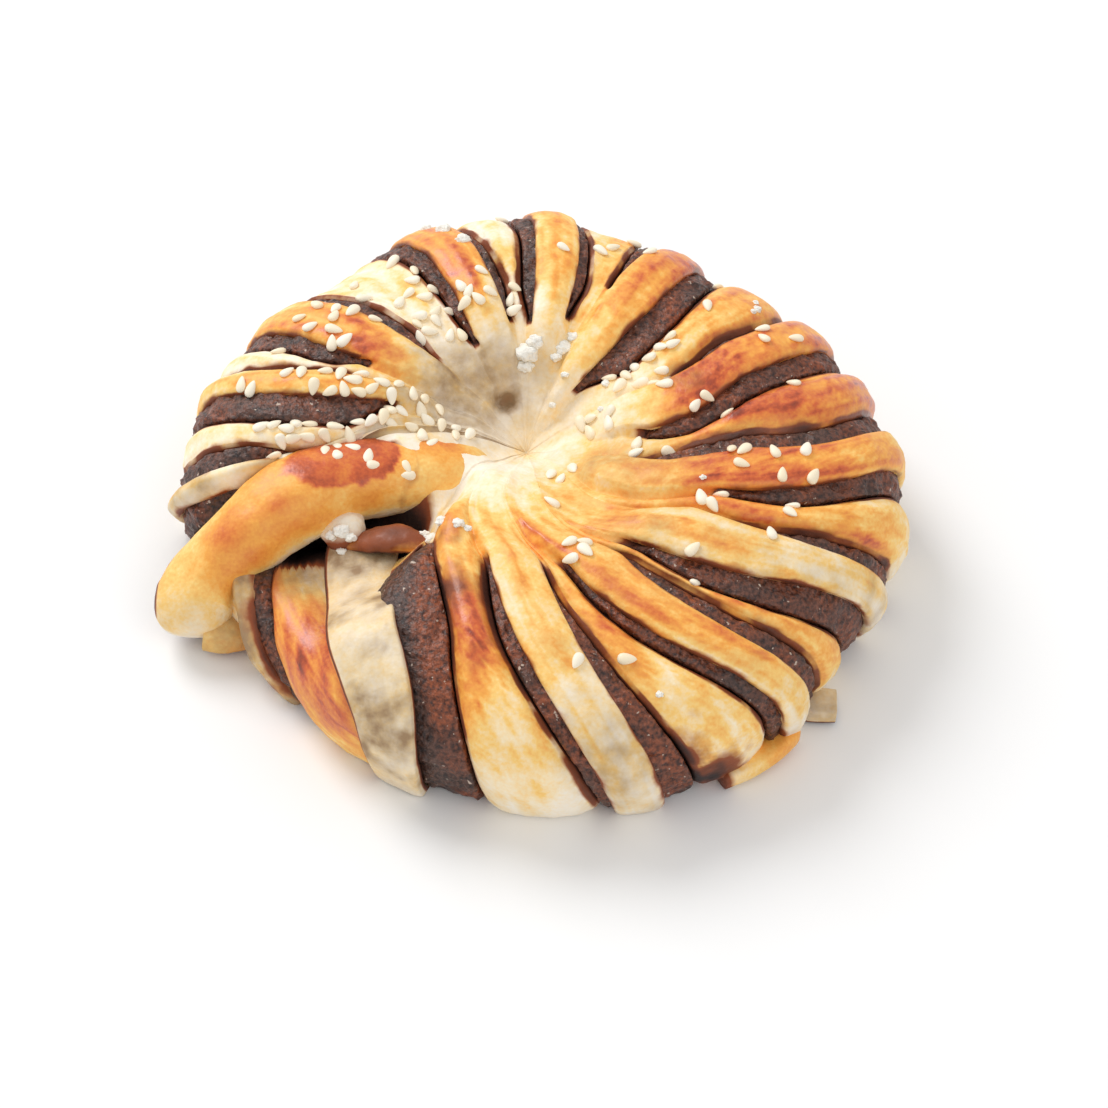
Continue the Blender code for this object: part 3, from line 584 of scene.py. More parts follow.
def paste_piece(index, strip):
    first = min(strip.tips) + 0.005
    s = np.linspace(first, PASTE_END, PASTE_RINGS)
    middle, half = through(strip.heading, s), through(strip.width, s) / 2
    left, right = (half + side_width(strip, side, s) - 0.15 for side in (0, 1))
    turn = round_of(PASTE_SIDES)
    across, up = squared(np.cos(turn), 0.5), squared(np.sin(turn), 0.5)
    centre, reach = (right - left) / 2, (right + left) / 2
    per_mm = degrees_per_mm(middle, s)
    angle = middle[:, None] + (centre[:, None] + reach[:, None] * across) * per_mm[:, None]
    thin = ease(first - 0.01, first + 0.05, s)[:, None]
    lift = np.where(up > 0, PASTE_TOP * thin - (1 - thin) * 0.9, PASTE_BOTTOM) * np.abs(up) ** 0.5
    lift = np.broadcast_to(lift - 0.3 * (1 - np.abs(up)), angle.shape)
    s = np.repeat(s[:, None], PASTE_SIDES, 1)
    base = lifted(angle, s, lift, LOWEST)
    lumps = layers(base, (0.55, 2.8, 20 + index), (0.55, 1.3, 40 + index), (0.2, 0.7, 50 + index))
    points = lifted(angle, s, lift + lumps * (up > -0.2) * thin, LOWEST)
    damp = 0.45 + 0.9 * rough(points, 6.0, 60 + index)
    if strip.name == "broad":
        damp = damp + 1.3 * (1 - ease(0.62, 0.70, s)) * ease(0.1, 0.4, across)
        damp = damp - 0.6 * ease(0.3, 0.0, across)
    faces, values = tube_faces(PASTE_RINGS, PASTE_SIDES), {"damp": np.clip(damp, 0, 1)}
    return mesh_object(f"paste_{strip.name}", points, faces, values, f"bean_paste_{index + 1:02d}")


paste_pieces = [paste_piece(i, strip) for i, strip in enumerate(STRIPS)]

# %% [markdown]
# ## The arm and the loose ends of dough
#
# The ring's end is a thick rolled arm that lies over the ring's start. A broad pale strip, a small
# knob, a fold, a square-cut tail and a loose sliver lie round it. Bevelled curves could make them.
# Here each is a tube along a named route, with its half widths and half heights, because the rings of
# points also carry the browning, such as the glazed red-brown spot on the arm's back.

# %% Limbs
Limb = namedtuple("Limb", "name rings sides squareness blunt route half_width half_height")
ARM = Limb(
    "arm_of_dough", 170, 84, 0.85, 0.10,
    ((-8, -1, 14), (-14.5, -2, 19), (-21.5, -3, 21.8), (-30, -5.2, 22.4), (-38, -7.8, 22.6),
     (-45.5, -12.2, 21.8), (-52.5, -16.8, 17.8), (-58.3, -19.6, 12.4), (-62, -24.2, 8.4), (-62.2, -30.4, 5.4)),
    (5, 6, 6.8, 7.3, 7.5, 7.7, 6.7, 6.6, 7.2, 7.1), (4, 5.2, 5.8, 6.2, 6.4, 7, 7, 6.5, 5.8, 4.6),
)
LOBE = Limb(
    "fold_under_arm", 60, 60, 0.75, 0.3,
    ((-59, -26.4, 4.0), (-56, -27.2, 3.8), (-53, -26.6, 3.7), (-50, -25, 3.4)),
    (4.2, 4.1, 3.8, 3.2), (3.5, 3.3, 3.1, 2.8),
)
KNOB = Limb(
    "knob_under_arm", 60, 60, 0.9, 0.4,
    ((-36.5, -13, 17), (-36.3, -15, 19), (-36, -17, 19), (-35.5, -19, 16.5)),
    (3.0, 3.9, 3.9, 3.2), (2.4, 3.3, 3.3, 2.4),
)
TAIL = Limb(
    "loose_tail", 60, 56, 0.28, 0.03,
    ((37, -31.5, 1.9), (42, -35.2, 1.95), (47, -36.2, 2.0), (52, -36.4, 2.0)),
    (3.1, 3.1, 3.1, 2.9), (1.45, 1.5, 1.6, 1.5),
)
GLAZED_FOLD = Limb(
    "glazed_fold", 70, 44, 0.8, 0.2,
    ((-35, -18.3, 18.6), (-29.5, -19.8, 21.2), (-25, -20.4, 22.2), (-20, -21.2, 21.6)),
    (1.8, 2.8, 2.7, 1.6), (1.0, 1.5, 1.6, 1.2),
)
SLIVER = Limb(
    "loose_sliver", 50, 36, 0.5, 0.15,
    ((31, -53.5, 2.2), (36, -50.5, 2.6), (40.5, -46.8, 3.0), (44.5, -42.5, 3.0)),
    (2.6, 2.8, 2.6, 2.0), (1.6, 1.8, 1.9, 1.6),
)
print("the arm is about", round(float(np.linalg.norm(np.diff(ARM.route, axis=0), axis=1).sum())), "mm long")


# %% A tube along a route
def limb_frame(route, t):
    forward = unit(along(route, t + 0.01) - along(route, t - 0.01))
    left = unit(np.cross(np.array([0.0, 0, 1]), forward))
    return along(route, t), left, unit(np.cross(forward, left))


def limb_points(limb, t, across, up):
    middle, left, upward = limb_frame(limb.route, t)
    points = middle + left * (across * along(limb.half_width, t))[..., None]
    points = points + upward * (up * along(limb.half_height, t))[..., None]
    points[..., 2] = np.maximum(points[..., 2], LOWEST)
    return points


def limb_grid(rings, sides, squareness, blunt):
    """Shares along, across and up of a tube that closes at its tip."""
    t = 1 - (1 - np.linspace(0, 1, rings)) ** 1.3
    turn = round_of(sides)
    across, up = squared(np.cos(turn), squareness), squared(np.sin(turn), squareness)
    close = np.sqrt(np.clip(1 - np.clip((t - (1 - blunt)) / blunt, 0, 1) ** 2, 0.0004, 1))
    return np.repeat(t[:, None], sides, 1), close[:, None] * across, close[:, None] * up


def limb_piece(limb, tone, grey, stain_and_shade, relief=1.0):
    t, across, up = limb_grid(limb.rings, limb.sides, limb.squareness, limb.blunt)
    smooth = limb_points(limb, t, across, up)
    swell = 1 + relief * layers(smooth, (0.05, 9, 11), (0.03, 3.5, 12), (0.012, 1.5, 13))
    points = limb_points(limb, t, across * swell, up * swell)
    place = t, across, up, points
    values = {
        "brown": tone(*place) + layers(points, (0.12, 6, 5), (0.09, 2.5, 6)),
        "grey": grey(*place) + 0.15 * rough(points, 5, 7), "stain_and_shade": stain_and_shade(*place) + 0.1 * rough(points, 4, 8),
    }
    return mesh_object(limb.name, points, tube_faces(limb.rings, limb.sides), values)


print("a grid along a limb:", limb_grid(5, 8, 0.8, 0.1)[0].shape)

# %% A slab that lies over the ring
# angles and shares of the slab's middle line
SLAB_PATH = (
    (210, 0.45), (215, 0.485), (222, 0.525), (230, 0.565), (236, 0.60),
    (241.5, 0.64), (245.5, 0.69), (247.5, 0.76), (248.5, 0.83), (249, 0.885),
)
SLAB_WIDTH = (12.5, 12.8, 12.8, 12.5, 12.3, 12, 11.5, 10.5, 9, 8)
SLAB_THICKNESS, SLAB_LIFT, SLAB_BEND = 2.4, 2.7, 45.0
SLAB_RINGS, SLAB_SIDES = 130, 72


def slab_points(t, across, up):
    def middle(at):
        place = along(SLAB_PATH, at)
        return lifted(place[..., 0], place[..., 1], np.full(np.shape(at), SLAB_LIFT))
    place = along(SLAB_PATH, t)
    above = outward(place[..., 0], place[..., 1])
    left = unit(np.cross(above, middle(t + 0.02) - middle(t - 0.02)))
    aside = across * along(SLAB_WIDTH, t) / 2
    lift = SLAB_LIFT + up * (SLAB_THICKNESS / 2) - aside**2 / (2 * SLAB_BEND)
    points = lifted(place[..., 0], place[..., 1], lift) + left * aside[..., None]
    points[..., 2] = np.maximum(points[..., 2], LOWEST)
    return points


def slab_piece(tone, grey, stain_and_shade):
    t, across, up = limb_grid(SLAB_RINGS, SLAB_SIDES, 0.35, 0.04)
    swell = layers(slab_points(t, across, up), (0.35, 7, 31), (0.2, 3, 32), (0.08, 1.3, 33))
    points = slab_points(t, across + 0.4 * swell / SLAB_WIDTH[0], up * (1 + swell / SLAB_THICKNESS))
    place = t, across, up, points
    brown = tone(*place) + layers(points, (0.14, 6, 5), (0.1, 2.5, 6))
    values = {"brown": brown, "grey": grey(*place), "stain_and_shade": stain_and_shade(*place)}
    return mesh_object("broad_strip", points, tube_faces(SLAB_RINGS, SLAB_SIDES), values)


print("the slab is", len(SLAB_PATH), "stations long")


# %% Browning and painted shade of the arm and the loose ends
# spots on the arm: share along, share across, both reaches, how much browner
ARM_SPOTS = (
    (0.70, 0.3, 0.05, 0.5, 0.2), (0.58, 0.5, 0.03, 0.2, 0.25), (0.22, -0.3, 0.05, 0.5, 0.3),
    (0.72, -0.7, 0.1, 0.4, -0.15),
)


def spot(t, across, at, side, reach_t, reach_across, amount):
    return amount * np.exp(-(((t - at) / reach_t) ** 2) - (((across - side) / reach_across) ** 2))


ALONG, ACROSS, UP = range(3)


def rising(start, *terms):
    """A value all over a limb, and amounts that rise along, across or up it between two shares."""
    def value(*place):
        total = start + 0 * place[ALONG]
        for amount, *rises in terms:
            for way, low, high in rises:
                amount = amount * ease(low, high, place[way])
            total = total + amount
        return total
    return value


def arm_tone(t, across, up, points):
    base = 0.36 + 0.16 * ease(0.15, 0.4, t) - 0.28 * ease(0.72, 1.0, t)
    base = base - 0.35 * ease(0.2, -0.5, up)
    for row in ARM_SPOTS:
        base = base + spot(t, across, *row)
    away = np.hypot((t - 0.42) / 0.13, (across + 0.05) / 0.9) + layers(points, (0.16, 4, 21), (0.08, 1.5, 22))
    glazed = (1 - ease(0.90, 1.0, away)) * ease(-0.3, 0.2, up)
    # paler blotches in the glazed patch
    paler_blotches = ease(0.0, 0.5, rough(points, 3.5, 23)) * 0.12
    deep = 0.90 - paler_blotches + 0.12 * ease(0.40, 0.30, t) * ease(-0.2, 0.4, across)
    return base * (1 - glazed) + glazed * deep


def arm_stain_and_shade(t, across, up, points):
    """The thin dark line of paste along the far edge near the tip, and painted shade: on the underside over the
    hollow, under the near side at the root and along a crease.
    """
    edge = ease(-0.80, -0.97, across) * ease(0.62, 0.70, t) * (1 - ease(0.93, 0.99, t))
    under = 0.9 * ease(-0.6, -0.9, up) * ease(0.30, 0.4, t) * (1 + rough(points, 5, 38))
    root = 0.5 * ease(0.1, 0.5, across) * ease(-0.1, -0.4, up) * ease(0.3, 0.15, t)
    crease = bell(t - 0.27 - 0.03 * across - 0.03 * rough(points, 6, 35), 0.012)
    return 0.9 * edge + under + root + 0.24 * crease * ease(-0.6, -0.1, across)


def slab_grey(t, across, up, points):
    """Translucent blotches, most near the foot, and grey at the top end: partly the dough's own grey, partly painted
    shade where it tucks under the knob.
    """
    blotches = 1.6 * np.clip(layers(points, (1, 6, 24), (0.6, 2.2, 25)), 0, 1)
    low = spot(t, across, 0.72, -0.35, 0.08, 0.7, 1.4) * (0.9 + rough(points, 4, 26))
    return 0.5 + blotches + low + 1.2 * ease(0.26, 0.12, t)


def slab_stain_and_shade(t, across, up, points):
    """Painted shade at the end under the arm, where it tucks under the knob, a thin line of painted shadow along both
    edges, and blotches near the foot.
    """
    edges = ease(0.90, 1.0, np.abs(across)) * ease(0.2, -0.4, up)
    edges = edges + ease(-0.86, -0.97, across)
    blotch = np.clip(layers(points, (1, 5, 27), (0.5, 1.8, 28)) - 0.25, 0, 1)
    end = 0.6 * ease(0.20, 0.06, t) * (0.6 + 1.2 * rough(points, 4, 29))
    return end + 0.8 * edges + 0.35 * blotch * ease(0.6, 0.75, t)


print("a spot at its own middle:", spot(0.5, 0.0, 0.5, 0.0, 0.1, 0.1, 1.0))

# %% The arm, the broad strip and the loose ends
# the arm: a thin dark line of paste on the far edge, and painted shade under it and along a crease
arm = limb_piece(ARM, arm_tone, rising(0, (0.5, (ALONG, 0.22, 0.0)), (0.3, (ALONG, 0.86, 0.95))), arm_stain_and_shade)
# the fold under the arm: its grey is partly its own colour, partly painted shade, and the dark on its top, under the
# arm's tip, and on its underside is painted shade
lobe = limb_piece(
    LOBE, rising(0.38, (0.2, (ALONG, 0.3, 0.8))), rising(0.9),
    rising(0, (0.8, (UP, 0.2, 0.8), (ACROSS, 0.0, 0.35)), (0.5, (UP, -0.7, -1.0))), 4.0,
)
# the knob's lower end and underside are darkened with painted shade
knob = limb_piece(
    KNOB, rising(0.02), rising(0.35), rising(0, (0.7, (ALONG, 0.55, 0.9)), (0.6, (UP, -0.2, -0.7))), 7.0
)
# the slab's end under the knob and its edges are darkened with painted shade
slab = slab_piece(rising(0.16), slab_grey, slab_stain_and_shade)
# the tail's underside and its root, where it comes out from under the ring, are darkened with painted shade
tail = limb_piece(
    TAIL, rising(0.16), rising(0.9), rising(0, (0.9, (UP, -0.45, -0.75)), (0.5, (ALONG, 0.25, 0.0)))
)
# the glazed fold is brown all over, and darker on its underside with painted shade
glazed = limb_piece(
    GLAZED_FOLD, lambda *place: 0.5 + 0.1 * rough(place[-1], 2, 36), rising(0),
    lambda *place: 0.5 + 0.25 * rough(place[-1], 4, 37) + 0.5 * ease(0.0, -0.5, place[UP]), 6.0,
)
# the sliver's root, where it comes out from under the rim, is darkened with painted shade
sliver = limb_piece(SLIVER, lambda *place: 0.25 + 0.35 * place[ALONG], rising(0), rising(0, (0.7, (ALONG, 0.2, 0.0))))
dough_pieces = [ring, arm, lobe, knob, slab, tail, glazed, sliver]
print("pieces of dough:", [piece.name for piece in dough_pieces])

# %% [markdown]
# ## Sesame seeds
#
# The hulled seeds were sprinkled by hand on the wet glaze, so they lie in drifts, flat on the crust.
# A particle system could scatter them, but not in these drifts. Patches say where they are thick, and
# each seed falls on the surface at a seeded random place that is clear of the others.

# %% Seeds
SEED_LENGTH, SEED_WIDTH, SEED_THICKNESS = 3.2, 1.9, 1.2
SEED_APART, SEED_SUNK, SEED_TRIES = 2.1, 0.25, 40
DROP_HEIGHT, LEAST_FACING = 20.0, 0.6
# patches of seeds: angle, s, spread in degrees, spread in s, how many
SEED_PATCHES = (
    (132, 0.42, 9, 0.07, 10), (134, 0.30, 8, 0.06, 6), (154, 0.46, 8, 0.08, 6), (161, 0.49, 5, 0.05, 5),
    (174, 0.44, 4, 0.06, 7), (174, 0.35, 4, 0.05, 5), (176, 0.57, 3, 0.03, 5), (181, 0.46, 4, 0.07, 9),
    (182, 0.35, 5, 0.06, 9), (178, 0.27, 6, 0.05, 8), (188, 0.45, 4, 0.05, 6), (191, 0.50, 3, 0.04, 9),
    (195, 0.45, 4, 0.04, 4), (185, 0.17, 12, 0.04, 5), (115, 0.36, 8, 0.05, 6), (100, 0.32, 5, 0.04, 4),
    (36, 0.36, 6, 0.05, 3), (32, 0.28, 8, 0.03, 4), (40, 0.24, 10, 0.03, 4), (24, 0.28, 6, 0.04, 3),
    (15, 0.15, 15, 0.04, 5), (340, 0.25, 8, 0.06, 3), (6, 0.38, 8, 0.07, 3), (24, 0.52, 10, 0.05, 4),
    (350, 0.48, 8, 0.06, 7), (328, 0.45, 5, 0.02, 3), (300, 0.20, 25, 0.08, 4), (282, 0.42, 6, 0.05, 4),
    (335, 0.56, 8, 0.03, 3), (308, 0.50, 4, 0.02, 2), (290, 0.56, 15, 0.02, 2), (90, 0.5, 60, 0.1, 10),
)
# places on the arm: share of the route, and share across, from the far side (-1)
ARM_SEEDS = (
    (0.46, -0.35), (0.43, -0.50), (0.44, -0.15), (0.40, -0.28), (0.37, 0.10), (0.36, 0.38), (0.29, 0.50),
    (0.29, 0.72), (0.24, -0.5), (0.22, -0.25), (0.30, -0.85), (0.26, -0.8), (0.48, -0.85), (0.53, -0.8),
    (0.56, -0.85),
)
RANDOM_SEED = 12
print("seeds wanted:", len(ARM_SEEDS) + sum(row[-1] for row in SEED_PATCHES))


# %% Where a falling seed lands
def surface_of(pieces):
    points, faces = [], []
    for piece in pieces:
        start = len(points)
        points += [v.co[:] for v in piece.data.vertices]
        faces += [[start + i for i in polygon.vertices] for polygon in piece.data.polygons]
    return BVHTree.FromPolygons(points, faces)


surface = surface_of(dough_pieces + paste_pieces)


def drop_on(angle, s):
    """Where something sprinkled from outside lands on the bun, and the surface's direction there."""
    inward = -outward(np.array([float(angle)]), np.array([float(s)]))[0]
    place, normal, _, _ = surface.ray_cast(Vector(place_at(angle, s, DROP_HEIGHT) * MM), Vector(inward))
    return (None, None) if place is None or normal.dot(Vector(-inward)) < LEAST_FACING else (place, normal)


def drop_on_arm(t, across):
    middle, left, _ = limb_frame(ARM.route, np.array([t]))
    start = middle[0] + left[0] * across * along(ARM.half_width, t) + np.array([0, 0, DROP_HEIGHT])
    return surface.ray_cast(Vector(start * MM), Vector((0, 0, -1)))[:2]


print("a seed dropped at 150 degrees lands at", drop_on(150, 0.45)[0])


# %% All seeds
def seed_shape(rings=7, sides=12):
    """An egg with a pointed end, lying along x."""
    lat = np.linspace(0, np.pi, rings + 2)[1:-1]
    lon = round_of(sides)
    x = -np.cos(lat)[:, None] + 0 * lon
    radius = np.sin(lat) ** 0.9 * (1 - 0.35 * -np.cos(lat))
    y, z = radius[:, None] * np.cos(lon), radius[:, None] * np.sin(lon)
    points = np.concatenate([np.stack([x, y, z], -1).reshape(-1, 3), [[-1, 0, 0], [1.05, 0, 0]]])
    return points * np.array([SEED_LENGTH, SEED_WIDTH, SEED_THICKNESS]) / 2, ball_faces(rings, sides, flip=True)


def seed_spots(dice):
    """Places and surface directions of all seeds, none of them on another."""
    taken = [drop_on_arm(t, across) for t, across in ARM_SEEDS]
    taken = [drop_on_arm(t, across) for t, across in ARM_SEEDS]
    for angle, s, angle_spread, s_spread, count in SEED_PATCHES:
        left, wanted = SEED_TRIES * count, len(taken) + count
        while len(taken) < wanted and left:
            left -= 1
            at = angle + dice.uniform(-angle_spread, angle_spread)
            place, normal = drop_on(at, s + dice.uniform(-s_spread, s_spread))
            if place is not None and all((place - p).length > SEED_APART * MM for p, _ in taken):
                taken.append((place, normal))
    return taken


def sprinkle():
    dice = random.Random(RANDOM_SEED)
    shape, shape_faces = seed_shape()
    points, faces, shade = [], [], []
    for place, normal in seed_spots(dice):
        turn = normal.to_track_quat("Z", "Y").to_matrix()
        heading, tilt = dice.uniform(0, 2 * math.pi), dice.uniform(-0.2, 0.2)
        spin = np.array(Matrix.Rotation(heading, 3, "Z")) @ np.array(Matrix.Rotation(tilt, 3, "Y"))
        size = dice.uniform(0.85, 1.1)
        middle = np.array(place) / MM + np.array(normal) * SEED_THICKNESS * (0.5 - SEED_SUNK)
        start = len(points) * len(shape)
        points.append((shape * size) @ (np.array(turn) @ spin).T + middle)
        faces += [tuple(start + i for i in face) for face in shape_faces]
        shade.append(np.full(len(shape), dice.uniform(0, 1)))
    print(len(points), "seeds")
    return mesh_object("sesame_seeds", np.concatenate(points), faces, {"shade": np.concatenate(shade)})


seeds = sprinkle()

# %% [markdown]
# ## Sugar and flour
#
# A few white lumps of sugar and dried flour stuck to the glaze while it was wet. Scattered copies of
# one lump would look alike. So each is a ball of its own, pushed out of round by noise.

# %% Lumps
# angle, s, half size in mm
SUGAR_LUMPS = (
    (96, 0.18, 2.3), (92, 0.20, 1.6), (98, 0.155, 1.5), (77, 0.21, 1.8), (74, 0.245, 1.2), (79, 0.185, 1.1),
    (112, 0.49, 1.3), (114, 0.54, 1.5), (107, 0.45, 1.2), (110, 0.52, 1.0), (116, 0.58, 1.1), (105, 0.40, 0.9),
    (42, 0.55, 0.9), (44, 0.56, 0.7), (41, 0.535, 0.6), (60, 0.10, 0.7), (20, 0.16, 0.7), (66, 0.16, 0.8),
    (40, 0.20, 0.8), (35, 0.22, 0.6), (290, 0.62, 0.7), (282, 0.60, 0.6), (333, 0.42, 0.6), (328, 0.46, 0.5),
)
# crumbs and dried flour beside the arm and on the knob, where a plumb line lands: x, y and half size in mm
CRUMBS = (
    (-20.5, -20.5, 1.5), (-18.6, -21.3, 1.2), (-21.8, -19.6, 1.0), (-15.6, -23, 1.1), (-14.2, -23.6, 0.8),
    (-36.4, -18.6, 1.5), (-34.8, -19.4, 1.1), (-38.0, -19.0, 1.1), (-36.2, -20.6, 0.9),
)


def lump_mesh(places):
    """Rough blobs at these places (mm), each with its half size."""
    made = bmesh.new()
    for k, (place, size) in enumerate(places):
        blob = bmesh.ops.create_icosphere(made, subdivisions=3, radius=1)["verts"]
        for vertex in blob:
            at = vertex.co
            bump = 1 + 0.45 * noise.noise(at * 1.7 + Vector((k, 0, 0)) * 5)
            bump = bump + 0.2 * noise.noise(at * 5 + Vector((0, k, 0)))
            vertex.co = Vector(place) + Vector((at.x, at.y * 0.85, at.z * 0.65)) * bump * size
    points = [v.co[:] for v in made.verts]
    faces = [[v.index for v in f.verts] for f in made.faces]
    made.free()
    return points, faces


def scatter_lumps():
    places = [(drop_on(angle, s)[0], size) for angle, s, size in SUGAR_LUMPS]
    for x, y, size in CRUMBS:
        place, _, _, _ = surface.ray_cast(Vector((x, y, 60)) * MM, Vector((0, 0, -1)))
        places.append((place, size))
    found = [(np.array(place) / MM, size) for place, size in places if place is not None]
    points, faces = lump_mesh(found)
    print(len(found), "lumps")
    return mesh_object("sugar_lumps", points, faces, {"shade": np.zeros(len(points))})


lumps = scatter_lumps()

# %% [markdown]
# ## Finishes
#
# Baked dough is matt where it is pale and shiny where the glaze browned. Paste is dark, grainy and
# moist, seeds are creamy and smooth, and sugar is white and dull. A photo could be wrapped round the
# bun, but then it would look right from one side only. So colours are worked out from the values on
# the points and from noise, in two node groups that the materials share.

# %% Shader helpers
def give(tree, node, inputs):
    """Fills inputs, each with a value or with another node's output."""
    for key, value in inputs.items():
        if isinstance(value, bpy.types.NodeSocket):
            tree.links.new(value, node.inputs[key])
        else:
            node.inputs[key].default_value = value
    return node


def put(tree, kind, inputs=None, **settings):
    made = tree.nodes.new("ShaderNode" + kind)
    for key, value in settings.items():
        setattr(made, key, value)
    return give(tree, made, inputs or {})


def new_group(name, inputs, outputs, look):
    """A node group: numbers as inputs, outputs of these kinds, and what a function makes between them."""
    group = bpy.data.node_groups.new(name, "ShaderNodeTree")
    for label, value in inputs.items():
        socket = group.interface.new_socket(name=label, in_out="INPUT", socket_type="NodeSocketFloat")
        socket.default_value = value
    for label, kind in outputs.items():
        group.interface.new_socket(name=label, in_out="OUTPUT", socket_type="NodeSocket" + kind)
    given, out = group.nodes.new("NodeGroupInput"), group.nodes.new("NodeGroupOutput")
    give(group, out, look(group, given.outputs))
    print(name, "has", len(group.nodes), "nodes")
    return group


def colour(red, green, blue):
    """A screen colour, as the light values that shaders use."""
    def one(v):
        v /= 255
        return v / 12.92 if v <= 0.04045 else ((v + 0.055) / 1.055) ** 2.4
    return (one(red), one(green), one(blue), 1.0)


print("cream is", [round(v, 2) for v in colour(250, 240, 215)])


# %% Parts of a shader
RAMP_TOP = 1.25


def object_place(tree):
    return put(tree, "TexCoord").outputs["Object"]


def noise_at(tree, place, scale, detail):
    return put(tree, "TexNoise", {"Scale": scale, "Detail": detail, "Vector": place}).outputs["Fac"]


def mixed(tree, share, low, high):
    return put(tree, "Mix", {"Factor": share, "A": low, "B": high}, data_type="RGBA").outputs["Result"]


def reckon(tree, operation, *values, **settings):
    return put(tree, "Math", dict(enumerate(values)), operation=operation, **settings).outputs[0]


def stretched(tree, value, low, high, to_low=0.0, to_high=1.0):
    given = {"Value": value, "From Min": low, "From Max": high, "To Min": to_low, "To Max": to_high}
    return put(tree, "MapRange", given).outputs["Result"]


def ramp(tree, stops, value, top=1.0):
    """Colours read by a value; the last stop may lie past 1, up to the top."""
    made = put(tree, "ValToRGB", {"Fac": value})
    elements = made.color_ramp.elements
    elements.remove(elements[0])
    for k, (at, shade) in enumerate(stops):
        stop = elements[0] if k == 0 else elements.new(at / top)
        stop.position, stop.color = at / top, colour(*shade)
    return made.outputs["Color"]


def attribute(tree, name):
    return put(tree, "Attribute", attribute_name=name).outputs["Fac"]


print("the dough's ramps are read from 0 to", RAMP_TOP)


# %% Group: browning of the dough
BROWNING = (
    (0.00, (254, 243, 224)), (0.16, (253, 231, 190)), (0.34, (253, 208, 122)), (0.52, (246, 172, 76)),
    (0.70, (230, 136, 58)), (0.86, (208, 96, 46)), (1.0, (168, 68, 34)), (1.2, (116, 46, 26)),
)
# ramp of the stain values: real stains of paste and glaze, and at its dark end also painted shade in hollows and
# under overhangs
STAINS_AND_SHADE = ((0.0, (214, 128, 58)), (0.4, (150, 76, 38)), (0.8, (92, 50, 36)), (1.2, (42, 27, 24)))
# grey of thin see-through dough, also used for painted shade in the pit near the pinch and on the fold under the arm
SEE_THROUGH_AND_SHADE = colour(160, 130, 96)


def spread_by(tree, value, wobble, amount):
    """A value moved up and down by noise, then scaled to a ramp's range."""
    shift = reckon(tree, "MULTIPLY_ADD", wobble, amount, -amount / 2)
    return reckon(tree, "DIVIDE", reckon(tree, "ADD", value, shift), RAMP_TOP)


def browning_look(group, given):
    place = object_place(group)
    fine, cloudy = noise_at(group, place, 1400, 5), noise_at(group, place, 330, 4)
    browned = spread_by(group, given["Brown"], fine, 0.30)
    # the stain value carries real stains and painted shade
    stain_and_shade_level = spread_by(group, given["Stain_and_shade"], cloudy, 0.35)
    grey_share = reckon(group, "MULTIPLY", given["Grey"], cloudy, use_clamp=True)
    baked = mixed(group, grey_share, ramp(group, BROWNING, browned, RAMP_TOP), SEE_THROUGH_AND_SHADE)
    cover = stretched(group, stain_and_shade_level, 0.12, 0.36)
    return {
        "Color": mixed(group, cover, baked, ramp(group, STAINS_AND_SHADE, stain_and_shade_level, RAMP_TOP)),
        "Gloss": stretched(group, browned, 0.3, 0.7, 0.58, 0.34),
        "Glaze": stretched(group, browned, 0.3, 0.7, 0.0, 0.40),
    }


KINDS = {"Color": "Color", "Gloss": "Float", "Glaze": "Float"}
browning = new_group("browning", {"Brown": 0.3, "Grey": 0.0, "Stain_and_shade": 0.0}, KINDS, browning_look)


# %% Group: fine relief
RELIEF_DEPTH = 0.0006


def relief_look(group, given):
    grain = noise_at(group, object_place(group), given["Size"], 4)
    bump = put(group, "Bump", {"Distance": RELIEF_DEPTH, "Strength": given["Depth"], "Height": grain})
    return {"Normal": bump.outputs["Normal"]}


relief = new_group("fine_relief", {"Size": 900.0, "Depth": 0.2}, {"Normal": "Vector"}, relief_look)


# %% Materials
def finish(name, look):
    """A material whose shader gets what a function of its tree returns."""
    material = bpy.data.materials.new(name)
    material.use_nodes = True
    tree = material.node_tree
    give(tree, tree.nodes["Principled BSDF"], look(tree))
    return material


def fine_relief(tree, size, depth):
    return put(tree, "Group", {"Size": size, "Depth": depth}, node_tree=relief).outputs["Normal"]


def crust_look(tree):
    values = {label: attribute(tree, label.lower()) for label in ("Brown", "Grey", "Stain_and_shade")}
    look = put(tree, "Group", values, node_tree=browning).outputs
    return {
        "Base Color": look["Color"], "Roughness": look["Gloss"], "Coat Weight": look["Glaze"],
        "Coat Roughness": 0.24, "Specular IOR Level": 0.35, "Normal": fine_relief(tree, 1100.0, 0.25),
    }


def paste_look(tree):
    """Dark and grainy, with damp reddish places and pale specks."""
    place = object_place(tree)
    grain = noise_at(tree, place, 1300, 5)
    dry = ramp(tree, ((0.34, (38, 24, 22)), (0.68, (100, 68, 56))), grain)
    damp = ramp(tree, ((0.34, (62, 30, 20)), (0.68, (158, 82, 46))), grain)
    specks = stretched(tree, noise_at(tree, place, 900, 2), 0.69, 0.73)
    shade = mixed(tree, specks, mixed(tree, attribute(tree, "damp"), dry, damp), colour(196, 176, 160))
    return {"Base Color": shade, "Roughness": 0.42, "Normal": fine_relief(tree, 1000.0, 1.0)}


def seed_look(tree):
    shade = ramp(tree, ((0.0, (252, 244, 226)), (1.0, (248, 232, 200))), attribute(tree, "shade"))
    return {"Base Color": shade, "Roughness": 0.45}


def sugar_look(tree):
    return {"Base Color": colour(250, 246, 236), "Roughness": 0.7, "Normal": fine_relief(tree, 1600.0, 0.8)}


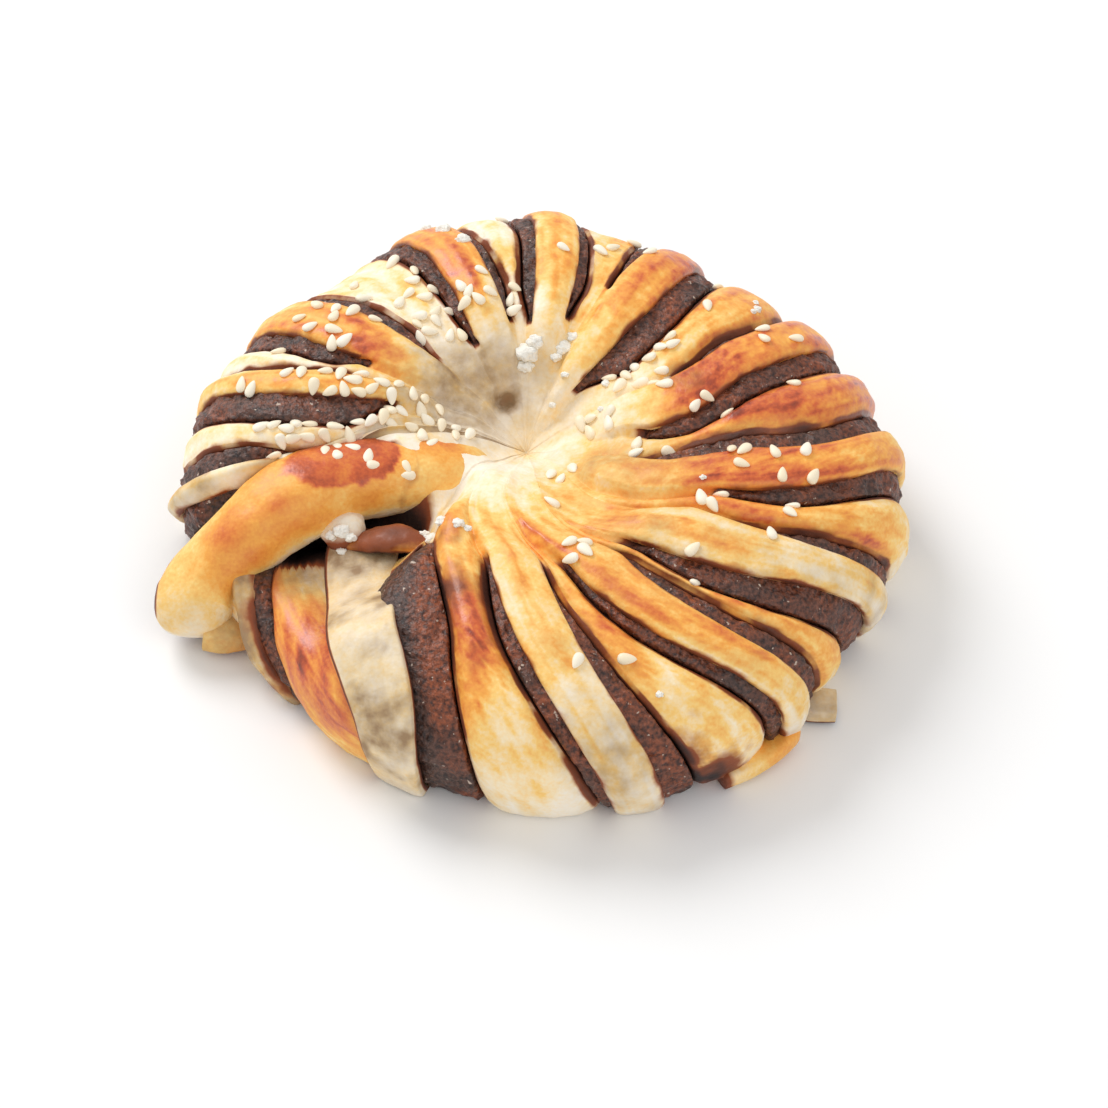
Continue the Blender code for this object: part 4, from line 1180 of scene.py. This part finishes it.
crust, paste = finish("baked_crust", crust_look), finish("bean_paste", paste_look)
sesame, sugar = finish("hulled_sesame", seed_look), finish("sugar_and_flour", sugar_look)
for pieces, made in ((dough_pieces, crust), (paste_pieces, paste), ([seeds], sesame), ([lumps], sugar)):
    for piece in pieces:
        piece.data.materials.append(made)
print("finishes:", crust.name, paste.name, sesame.name, sugar.name)

# %% [markdown]
# ## Floor, light and camera
#
# The photo is a bright studio shot with soft light from the upper left and hardly any shadow. Many
# lamps could do this. A pale floor, an even white room and two large soft lamps are enough, and the
# camera stands where the photo was taken from, with the same slight turn.

# %% Floor
FLOOR = 6.0
floor_mesh = bpy.data.meshes.new("floor")
corners = [(-FLOOR, -FLOOR, 0), (FLOOR, -FLOOR, 0), (FLOOR, FLOOR, 0), (-FLOOR, FLOOR, 0)]
floor_mesh.from_pydata(corners, [], [(0, 1, 2, 3)])
floor = new_object("floor", floor_mesh)
pale = finish("pale_floor", lambda tree: {"Base Color": colour(246, 246, 246), "Roughness": 0.6})
floor_mesh.materials.append(pale)
print("floor:", 2 * FLOOR, "m across")

# %% Light
ROOM_LIGHT = 0.70
world = bpy.data.worlds.new("soft_room")
bpy.context.scene.world = world
world.use_nodes = True
give(world.node_tree, world.node_tree.nodes["Background"], {"Color": (1, 1, 1, 1), "Strength": ROOM_LIGHT})


def soft_light(name, place, size, power):
    data = bpy.data.lights.new(name, "AREA")
    data.shape, data.size, data.energy = "DISK", size, power
    light = new_object(name, data)
    light.location = place
    light.rotation_euler = (-Vector(place)).to_track_quat("-Z", "Y").to_euler()
    return light


key_light = soft_light("window", (-0.9, 0.9, 1.2), 0.9, 17)
fill_light = soft_light("fill", (0.6, -0.9, 1.0), 1.2, 3)
print("lamps:", [(lamp.name, lamp.data.energy) for lamp in (key_light, fill_light)])

# %% Camera
ELEVATION, ROLL, LENS, SENSOR, DISTANCE = 46.5, -2.8, 85, 36, 0.486
TARGET = Vector((0.001, -0.001, 0))
camera_data = bpy.data.cameras.new("photo_view")
camera_data.lens, camera_data.sensor_width, camera_data.clip_start = LENS, SENSOR, 0.01
camera = new_object("photo_view", camera_data)
up_angle = math.radians(ELEVATION)
back = Vector((0, -math.cos(up_angle), math.sin(up_angle)))
camera.location = TARGET + back * DISTANCE
turn = back.to_track_quat("Z", "Y").to_matrix().to_4x4() @ Matrix.Rotation(math.radians(-ROLL), 4, "Z")
camera.rotation_euler = turn.to_euler()
bpy.context.scene.camera = camera
bpy.context.scene.view_settings.view_transform = "Standard"
print("camera at", [round(v, 3) for v in camera.location])
